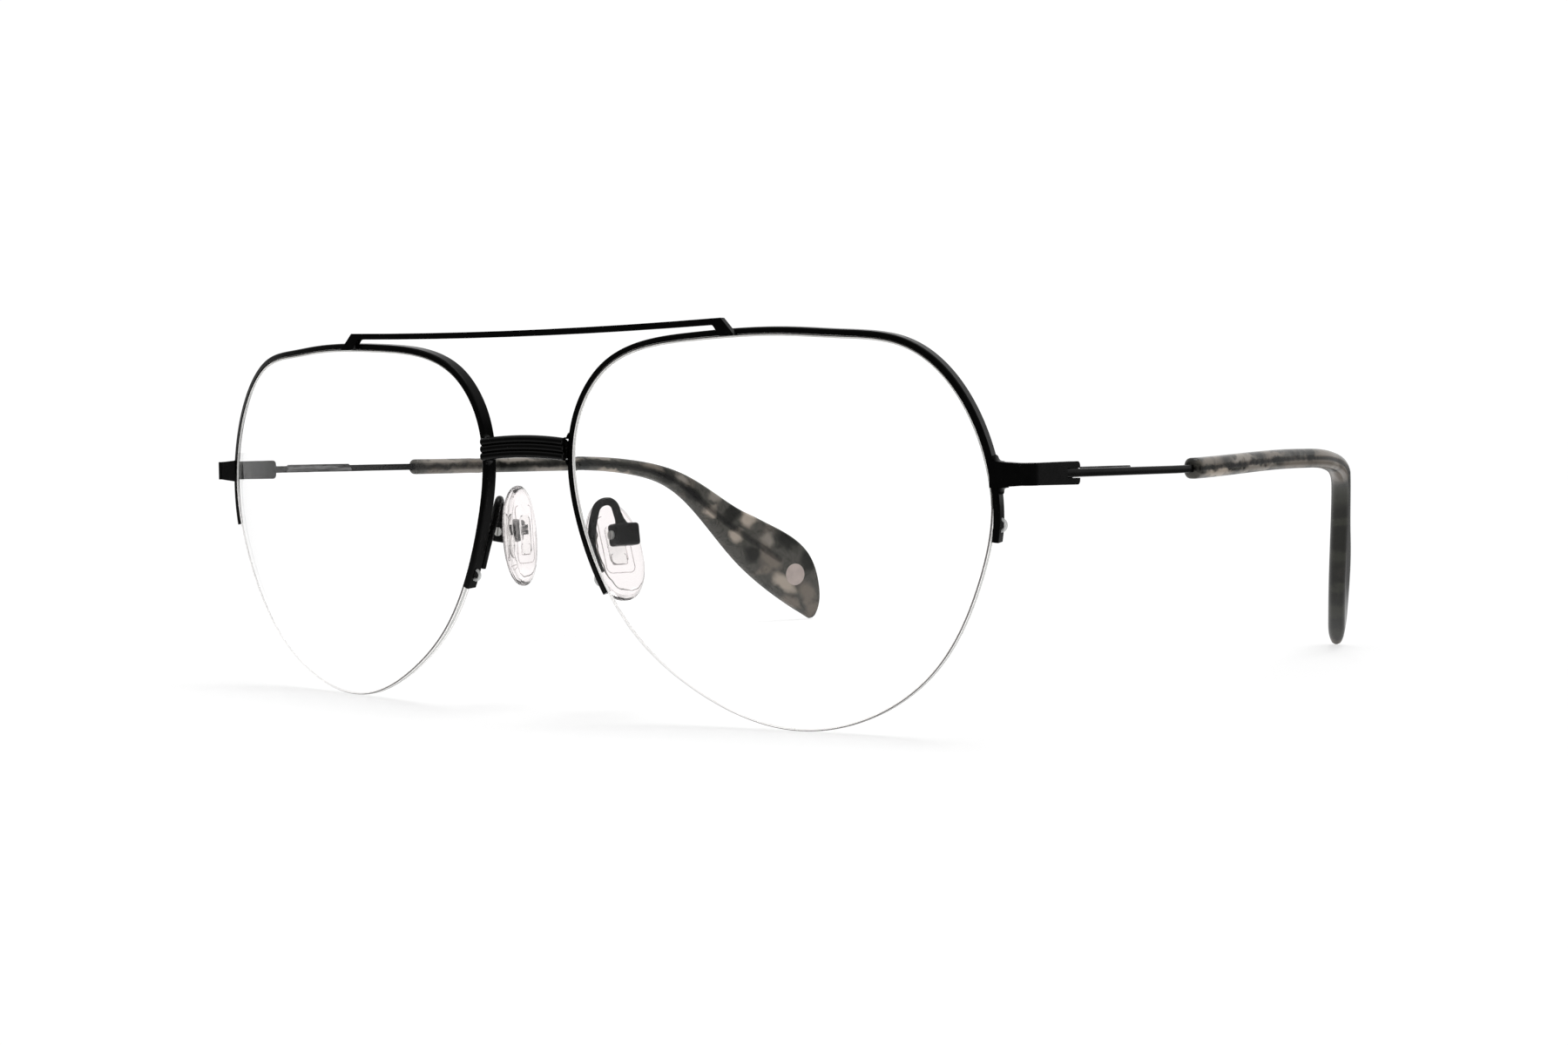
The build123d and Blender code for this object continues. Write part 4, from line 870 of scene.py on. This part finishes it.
class SpectacleSettings(bpy.types.PropertyGroup):
    """Sizes and colours of the spectacles."""
    lacquer_colour: FloatVectorProperty(
        name="Lacquer", description="Colour of the black lacquer", subtype="COLOR", size=3, min=0, max=1,
        default=(0.0016, 0.0016, 0.0015))
    lacquer_roughness: FloatProperty(
        name="Lacquer roughness", description="How matt the lacquer is", subtype="FACTOR", min=0, max=1, default=0.20)
    lacquer_gloss: FloatProperty(
        name="Lacquer gloss", description="How strongly the lacquer reflects", subtype="FACTOR", min=0, max=1,
        default=0.075)
    lens_colour: FloatVectorProperty(
        name="Lens", description="Tint of the lens", subtype="COLOR", size=3, min=0, max=1, default=(0.99, 0.99, 0.99))
    lens_edge_colour: FloatVectorProperty(
        name="Lens edge", description="Tint of the ground lens edge", subtype="COLOR", size=3, min=0, max=1,
        default=(0.90, 0.89, 0.88))
    # Strength of the painted glow of the ground lens edges; the nylon glows at eight tenths of it.
    painted_edge_glow: FloatProperty(
        name="Edge light", description="Light that the lens gathers in its ground edge", min=0, default=0.40)
    # Dark grey painted on the lens bevels: painted shade for the thin lines that they show.
    lens_bevel_shade_colour: FloatVectorProperty(
        name="Lens bevel tint", description="Tint of the bevels beside the polished faces", subtype="COLOR", size=3,
        min=0, max=1, default=(0.20, 0.19, 0.185))
    lens_bevel: FloatProperty(
        name="Lens bevel", description="Safety bevel round both lens faces", unit="LENGTH", default=0.00014)
    groove_width: FloatProperty(
        name="Groove width", description="Width of the groove round the lens", unit="LENGTH", default=0.0006)
    groove_depth: FloatProperty(
        name="Groove depth", description="Depth of the groove round the lens", unit="LENGTH", default=0.0004)
    nylon_colour: FloatVectorProperty(
        name="Nylon", description="Tint of thread and liner", subtype="COLOR", size=3, min=0, max=1,
        default=(0.86, 0.86, 0.84))
    thread_radius: FloatProperty(
        name="Thread radius", description="Radius of the nylon thread", unit="LENGTH", default=0.00024)
    pad_colour: FloatVectorProperty(
        name="Pads", description="Tint of the nose pads", subtype="COLOR", size=3, min=0, max=1,
        default=(0.925, 0.88, 0.88))
    sleeve_height: FloatProperty(
        name="Sleeve height", description="Height of the sleeve's straight part", unit="LENGTH", default=0.00245)
    sleeve_thickness: FloatProperty(
        name="Sleeve thickness", description="Thickness of the sleeve", unit="LENGTH", default=0.0023)
    sleeve_edge: FloatProperty(
        name="Sleeve edge", description="Rounding of the sleeve's edges", unit="LENGTH", default=0.0009)
    disc_radius: FloatProperty(
        name="Disc radius", description="Radius of the bare round inlay", unit="LENGTH", default=0.00205)
    marble_size: FloatProperty(
        name="Marble size", description="Size of the clouds in the acetate", unit="LENGTH", default=0.0035)
    acetate_dark: FloatVectorProperty(
        name="Acetate dark", description="Darkest clouds", subtype="COLOR", size=3, min=0, max=1,
        default=(0.014, 0.014, 0.011))
    acetate_grey: FloatVectorProperty(
        name="Acetate grey", description="Grey clouds", subtype="COLOR", size=3, min=0, max=1,
        default=(0.092, 0.088, 0.077))
    acetate_olive: FloatVectorProperty(
        name="Acetate olive", description="Dark green-grey clouds", subtype="COLOR", size=3, min=0, max=1,
        default=(0.036, 0.037, 0.028))
    acetate_taupe: FloatVectorProperty(
        name="Acetate taupe", description="Pale brown-grey clouds", subtype="COLOR", size=3, min=0, max=1,
        default=(0.30, 0.27, 0.235))
    acetate_brown: FloatVectorProperty(
        name="Acetate brown", description="Warm clouds", subtype="COLOR", size=3, min=0, max=1,
        default=(0.21, 0.18, 0.15))
    acetate_cream: FloatVectorProperty(
        name="Acetate cream", description="Cream flecks", subtype="COLOR", size=3, min=0, max=1,
        default=(0.50, 0.43, 0.36))
    inlay_colour: FloatVectorProperty(
        name="Inlay", description="Colour of the round inlay", subtype="COLOR", size=3, min=0, max=1,
        default=(0.62, 0.52, 0.48))
    room_light: FloatProperty(
        name="Room light", description="Brightness of the even light from all round", min=0, default=0.5)
    room_tone: FloatProperty(
        name="Room tone", description="Tone of the room on the camera's side, as reflections show it",
        subtype="FACTOR", min=0, max=1, default=0.16)
    clear_tone: FloatProperty(
        name="Clear tone", description="Tone of the room on the camera's side, as clear pieces bend it into view",
        subtype="FACTOR", min=0, max=1, default=0.68)
    overhead_light: FloatProperty(
        name="Overhead light", description="Strength of the overhead light in watts per square metre", min=0,
        default=1.3)
    overhead_spread: FloatProperty(
        name="Overhead spread", description="Apparent size of the overhead light", subtype="ANGLE", min=0, max=3,
        default=0.6)


FINISHES = {
    "acetate_marbled": "marbled_acetate_left", "frame_paint": "black_lacquer", "plate_paint": "streaked_plate",
    "bright_steel": "bright_steel", "lens_clear": "lens_polish", "liner_nylon": "liner_nylon",
    "thread_nylon": "thread_nylon", "disc_inlay": "satin_inlay", "pad_silicone": "clear_silicone",
    "pad_core": "clear_core",
}


def finish_of(slot):
    """Material that a finish slot of the record gets."""
    return bpy.data.materials[FINISHES[slot]]


class SPECTACLES_OT_finishes(bpy.types.Operator):
    """Make every finish and give the fixed parts theirs"""
    bl_idname = "spectacles.finishes"
    bl_label = "Finishes"

    def execute(self, context):
        settings = context.scene.spectacles
        black_lacquer(settings)
        bright_steel()
        lens_polish(settings)
        lens_ground_edge(settings)
        clear_nylon("liner_nylon", settings)
        clear_nylon("thread_nylon", settings)
        clear_silicone(settings)
        clear_core()
        pad_edge_painted_shade()
        streaked_plate()
        lens_bevel(settings)
        for side in SIDES:
            marbled_acetate(side, settings)
        satin_inlay(settings)
        for part in frame["record"]["subparts"]:
            dress_node(part["node"], finish_of(part["material_slot"]))
        return {"FINISHED"}


class SPECTACLES_OT_lenses(bpy.types.Operator):
    """Build both lenses with ground edges, and the nylon threads that hold them"""
    bl_idname = "spectacles.lenses"
    bl_label = "Lenses and threads"

    def execute(self, context):
        settings = context.scene.spectacles
        points, faces, slots = lens_shape(settings.lens_bevel / MM, settings.groove_width / MM,
                                          settings.groove_depth / MM)
        thread_points, thread_faces = thread_shape(settings.thread_radius / MM)
        for side in SIDES:
            flip = side == "left"
            lens = new_piece(f"clear_lens_{side}", mirrored(points, side), turned(faces, flip), 20, slots)
            for finish in ("lens_polish", "lens_ground_edge", "lens_bevel"):
                lens.data.materials.append(bpy.data.materials[finish])
            settle(lens, "front", "lens_clear", f"lens_{side}")
            thread = new_piece(f"nylon_thread_{side}", mirrored(thread_points, side),
                               turned(thread_faces, side == "right"), 60)
            thread.data.materials.append(finish_of("thread_nylon"))
            settle(thread, "front", "thread_nylon", f"lens_thread_{side}")
        return {"FINISHED"}


class SPECTACLES_OT_solder(bpy.types.Operator):
    """Build the lacquered solder fillets of bridge, end pieces and pad arms"""
    bl_idname = "spectacles.solder"
    bl_label = "Solder fillets"

    def execute(self, context):
        for side in SIDES:
            for name, (points, faces) in solder_shapes().items():
                points = mirrored(points, side)
                faces = turned(faces, signed_volume(points, faces) < 0)
                solder = new_piece(f"solder_{name}_{side}", points, faces, 50)
                solder.data.materials.append(finish_of("frame_paint"))
                settle(solder, f"{side}_temple" if name == "wire_bead" else "front", "frame_paint")
        return {"FINISHED"}


class SPECTACLES_OT_sleeves(bpy.types.Operator):
    """Build both acetate sleeves along the temples"""
    bl_idname = "spectacles.sleeves"
    bl_label = "Temple sleeves"

    def execute(self, context):
        settings = context.scene.spectacles
        for side in SIDES:
            points, faces, core, back, up = sleeve_shape(
                SLEEVE_START[side], settings.sleeve_height / MM + SLEEVE_TALLER[side],
                settings.sleeve_thickness / MM, settings.sleeve_edge / MM, SLEEVE_SWELL[side])
            uv = np.stack([back / 100, up / 100 + 0.5], axis=1)
            points = settled(points, back, up) if side == "left" else points
            sleeve = new_piece(f"acetate_sleeve_{side}", mirrored(points, side), turned(faces, side == "right"), 60,
                               uv=uv)
            layer = sleeve.data.attributes.new("core_distance", "FLOAT", "POINT")
            layer.data.foreach_set("value", core.astype(np.float32))
            sleeve.data.materials.append(bpy.data.materials[f"marbled_acetate_{side}"])
            settle(sleeve, f"{side}_temple", "acetate_marbled", f"temple_sleeve_{side}")
        points, faces = disc_shape(settings.disc_radius / MM)
        points = mirrored(points, "right")
        disc = new_piece("bare_disc_right", points, turned(faces, signed_volume(points, faces) < 0), 50)
        disc.data.materials.append(finish_of("disc_inlay"))
        settle(disc, "right_temple", "disc_inlay", "tip_disc_right")
        points, faces = wire_shape()
        wire = new_piece("bowed_wire_left", points, faces, 50)
        wire.data.materials.append(finish_of("frame_paint"))
        settle(wire, "left_temple", "frame_paint", "temple_wire_left")
        return {"FINISHED"}


class SPECTACLES_OT_pads(bpy.types.Operator):
    """Build both soft nose pads at their rest angles"""
    bl_idname = "spectacles.pads"
    bl_label = "Nose pads"

    def execute(self, context):
        for side in SIDES:
            points, faces, slots = pad_shape(side)
            pad = new_piece(f"soft_pad_{side}", mirrored(points, side), turned(faces, side == "right"), 60,
                            slots=slots)
            pad.data.materials.append(finish_of("pad_silicone"))
            pad.data.materials.append(bpy.data.materials["pad_edge_painted_shade"])
            settle(pad, f"{side}_pad", "pad_silicone", f"nose_pad_{side}")
            points, faces = insert_shape(side)
            insert = new_piece(f"pad_insert_{side}", mirrored(points, side), turned(faces, side == "right"), 60)
            # The insert's ribs carry the same painted edge shade.
            insert.data.materials.append(bpy.data.materials["pad_edge_painted_shade"])
            settle(insert, f"{side}_pad", "pad_core")
        return {"FINISHED"}


def turned(faces, flip):
    """The faces, or the same turned inside out for a mirrored piece."""
    return [face[::-1] for face in faces] if flip else faces


def settle(piece, body, slot, *nodes):
    """Says what a finished piece rides on and which CAD nodes it stands for. The slot, where its finish would come
    from, is not used.
    """
    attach(piece, body)
    if nodes:
        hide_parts(*nodes)


# ---------------------------------------------------------------- stage

FLOOR_HALF, FLOOR_TONE, SHADOW_TONE = 3.0, 0.8, 0.42
POOL_FULL, POOL_GONE, NEAR_SIDE, FAR_SIDE = 0.08, 0.2, 0.30, 0.45
WHITE, CLEAR_LIFT = 1.04, 0.09
BACKDROP_FADE, CEILING_FADE, FIELD_FADE = (0.9, 1.0), (0.3, 0.8), (0.5, 0.95)
LAMP_TURN = (-6, 5)
CAMERA_AT = np.array([202.5886, -226.5801, 38.0053])
CAMERA_AZIMUTH, CAMERA_ELEVATION, CAMERA_ROLL = 35.71235691, 2.50675053, -0.66947733
CAMERA_LENS, SENSOR = 53.6905, 36.0


def camera_axes():
    """Right, up and back of the camera from its azimuth, elevation and roll."""
    az, el, roll = (math.radians(v) for v in (CAMERA_AZIMUTH, CAMERA_ELEVATION, CAMERA_ROLL))
    back = np.array([math.sin(az) * math.cos(el), -math.cos(az) * math.cos(el), math.sin(el)])
    right = unit(np.cross(-back, [0, 0, 1]))
    up = np.cross(right, -back)
    return right * math.cos(roll) + up * math.sin(roll), up * math.cos(roll) - right * math.sin(roll), back


def by_ray(tree, plain, **kinds):
    """Chooses a shader by the kind of ray that asks: plain for light that falls on things, and others for
    camera, glossy and transmission rays."""
    path = add(tree, "LightPath")
    for kind, shade in kinds.items():
        plain = add(tree, "MixShader", path.outputs[f"Is {kind.title()} Ray"], plain, shade).outputs["Shader"]
    return plain


def behind_camera(tree, place):
    """How far a place or direction lies behind the part as the camera looks, plus a half so that a ramp can
    read both sides of nought."""
    azimuth = math.radians(CAMERA_AZIMUTH)
    along = vector_math(tree, "DOT_PRODUCT", place, (-math.sin(azimuth), math.cos(azimuth), 0), output="Value")
    return add(tree, "Math", along, 0.5).outputs["Value"]


def floor_finish(settings):
    """Pale floor: part light of its own and part lit, so that it stays white and keeps the soft shadows. Clear
    pieces see it a little brighter, which makes up for what their faces reflect. Reflections show a pool of
    white round the part, which fades to the room's tone further out."""
    made = bpy.data.materials.new("pale_floor")
    made.use_nodes = True
    tree = made.node_tree
    tree.nodes.clear()
    received = settings.room_light + settings.overhead_light / math.pi
    place = add(tree, "TexCoord").outputs["Object"]

    def lit(tone):
        return add(tree, "BsdfDiffuse", Color=(tone, tone, tone, 1)).outputs["BSDF"]

    def glow(colour, strength):
        return add(tree, "Emission", colour, strength).outputs["Emission"]

    def seen(level):
        own = glow(None, max(level - received * SHADOW_TONE, 0.0))
        return add(tree, "AddShader", lit(SHADOW_TONE), own).outputs["Shader"]

    share = ramp(tree, behind_camera(tree, place), [(NEAR_SIDE, grey(0.0)), (FAR_SIDE, grey(1.0))])
    clear = add(tree, "MixShader", share, glow(None, settings.clear_tone), seen(WHITE + CLEAR_LIFT))
    far = vector_math(tree, "LENGTH", place, output="Value")
    pool = ramp(tree, far, [(POOL_FULL, grey(1.0)), (POOL_GONE, grey(settings.room_tone))])
    add(tree, "OutputMaterial", by_ray(tree, lit(FLOOR_TONE), camera=seen(WHITE), glossy=glow(pool, None),
                                       transmission=clear.outputs["Shader"]))
    return made


def studio_world(settings):
    """White backdrop where the camera looks, an even light, and for reflections and clear pieces a room that
    is white overhead and behind the part and grey on the camera's side."""
    world = bpy.data.worlds.new("studio")
    bpy.context.scene.world = world
    world.use_nodes = True
    tree = world.node_tree
    tree.nodes.clear()
    direction = add(tree, "TexCoord").outputs["Generated"]
    behind = behind_camera(tree, direction)
    height = add(tree, "SeparateXYZ", direction).outputs["Z"]

    def shade(colour, strength):
        return add(tree, "Background", colour, strength).outputs["Background"]

    def fade(place, ends, tone):
        return ramp(tree, place, list(zip(ends, (grey(tone), grey(1.0)))))

    white, dark = (1.0, 1.0, 1.0, 1.0), settings.room_tone
    room = mix_colour(tree, 1.0, fade(behind, BACKDROP_FADE, dark), fade(height, CEILING_FADE, dark), "LIGHTEN")
    field = fade(behind, FIELD_FADE, settings.clear_tone)
    add(tree, "OutputWorld", by_ray(tree, shade(white, settings.room_light), camera=shade(white, WHITE),
                                    glossy=shade(room, 1.0), transmission=shade(field, WHITE + CLEAR_LIFT)))


def overhead_lamp(settings):
    """Broad even light from straight above, as from a large ceiling softbox."""
    lamp = bpy.data.lights.new("overhead_light", "SUN")
    lamp.energy = settings.overhead_light
    lamp.angle = settings.overhead_spread
    made = bpy.data.objects.new("overhead_light", lamp)
    made.rotation_euler = (math.radians(LAMP_TURN[0]), math.radians(LAMP_TURN[1]), 0)
    bpy.context.scene.collection.objects.link(made)


def matrix_of(right, up, back, at):
    """Four by four matrix from three axes and a place."""
    return Matrix([[*row, place] for row, place in zip(np.stack([right, up, back], axis=1).tolist(), at)]
                  + [[0, 0, 0, 1]])


class SPECTACLES_OT_stage(bpy.types.Operator):
    """Build the floor, the studio light and the camera"""
    bl_idname = "spectacles.stage"
    bl_label = "Stage"

    def execute(self, context):
        settings = context.scene.spectacles
        scene = context.scene
        mesh = bpy.data.meshes.new("floor")
        corners = [(-1, -1), (1, -1), (1, 1), (-1, 1)]
        mesh.from_pydata([(x * FLOOR_HALF, y * FLOOR_HALF, 0) for x, y in corners], [], [(0, 1, 2, 3)])
        floor = bpy.data.objects.new("floor", mesh)
        scene.collection.objects.link(floor)
        floor.data.materials.append(floor_finish(settings))
        studio_world(settings)
        overhead_lamp(settings)
        right, up, back = camera_axes()
        lens = bpy.data.cameras.new("camera")
        lens.lens, lens.sensor_width, lens.sensor_fit = CAMERA_LENS, SENSOR, "HORIZONTAL"
        lens.clip_start, lens.clip_end = 0.01, 20
        camera = bpy.data.objects.new("camera", lens)
        camera.matrix_world = matrix_of(right, up, back, ((CAMERA_AT + SHIFT) * MM).tolist())
        scene.collection.objects.link(camera)
        scene.camera = camera
        scene.view_settings.view_transform = "Standard"
        return {"FINISHED"}


class SPECTACLES_PT_panel(bpy.types.Panel):
    """Sidebar panel with the settings and one button for each group of pieces"""
    bl_idname = "SPECTACLES_PT_panel"
    bl_label = "Spectacles"
    bl_space_type = "VIEW_3D"
    bl_region_type = "UI"
    bl_category = "Spectacles"

    def draw(self, context):
        settings = context.scene.spectacles
        for name in SpectacleSettings.__annotations__:
            self.layout.prop(settings, name)
        for operator in OPERATORS:
            self.layout.operator(operator.bl_idname)


OPERATORS = (SPECTACLES_OT_finishes, SPECTACLES_OT_lenses, SPECTACLES_OT_solder, SPECTACLES_OT_sleeves,
             SPECTACLES_OT_pads, SPECTACLES_OT_stage)
CLASSES = (SpectacleSettings, *OPERATORS, SPECTACLES_PT_panel)


def register():
    for item in CLASSES:
        bpy.utils.register_class(item)
    bpy.types.Scene.spectacles = PointerProperty(type=SpectacleSettings)


def unregister():
    del bpy.types.Scene.spectacles
    for item in reversed(CLASSES):
        bpy.utils.unregister_class(item)


def main():
    """Registers the add-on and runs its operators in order."""
    register()
    bpy.ops.spectacles.finishes()
    bpy.ops.spectacles.lenses()
    bpy.ops.spectacles.solder()
    bpy.ops.spectacles.sleeves()
    bpy.ops.spectacles.pads()
    bpy.ops.spectacles.stage()


if __name__ == "__main__":
    main()
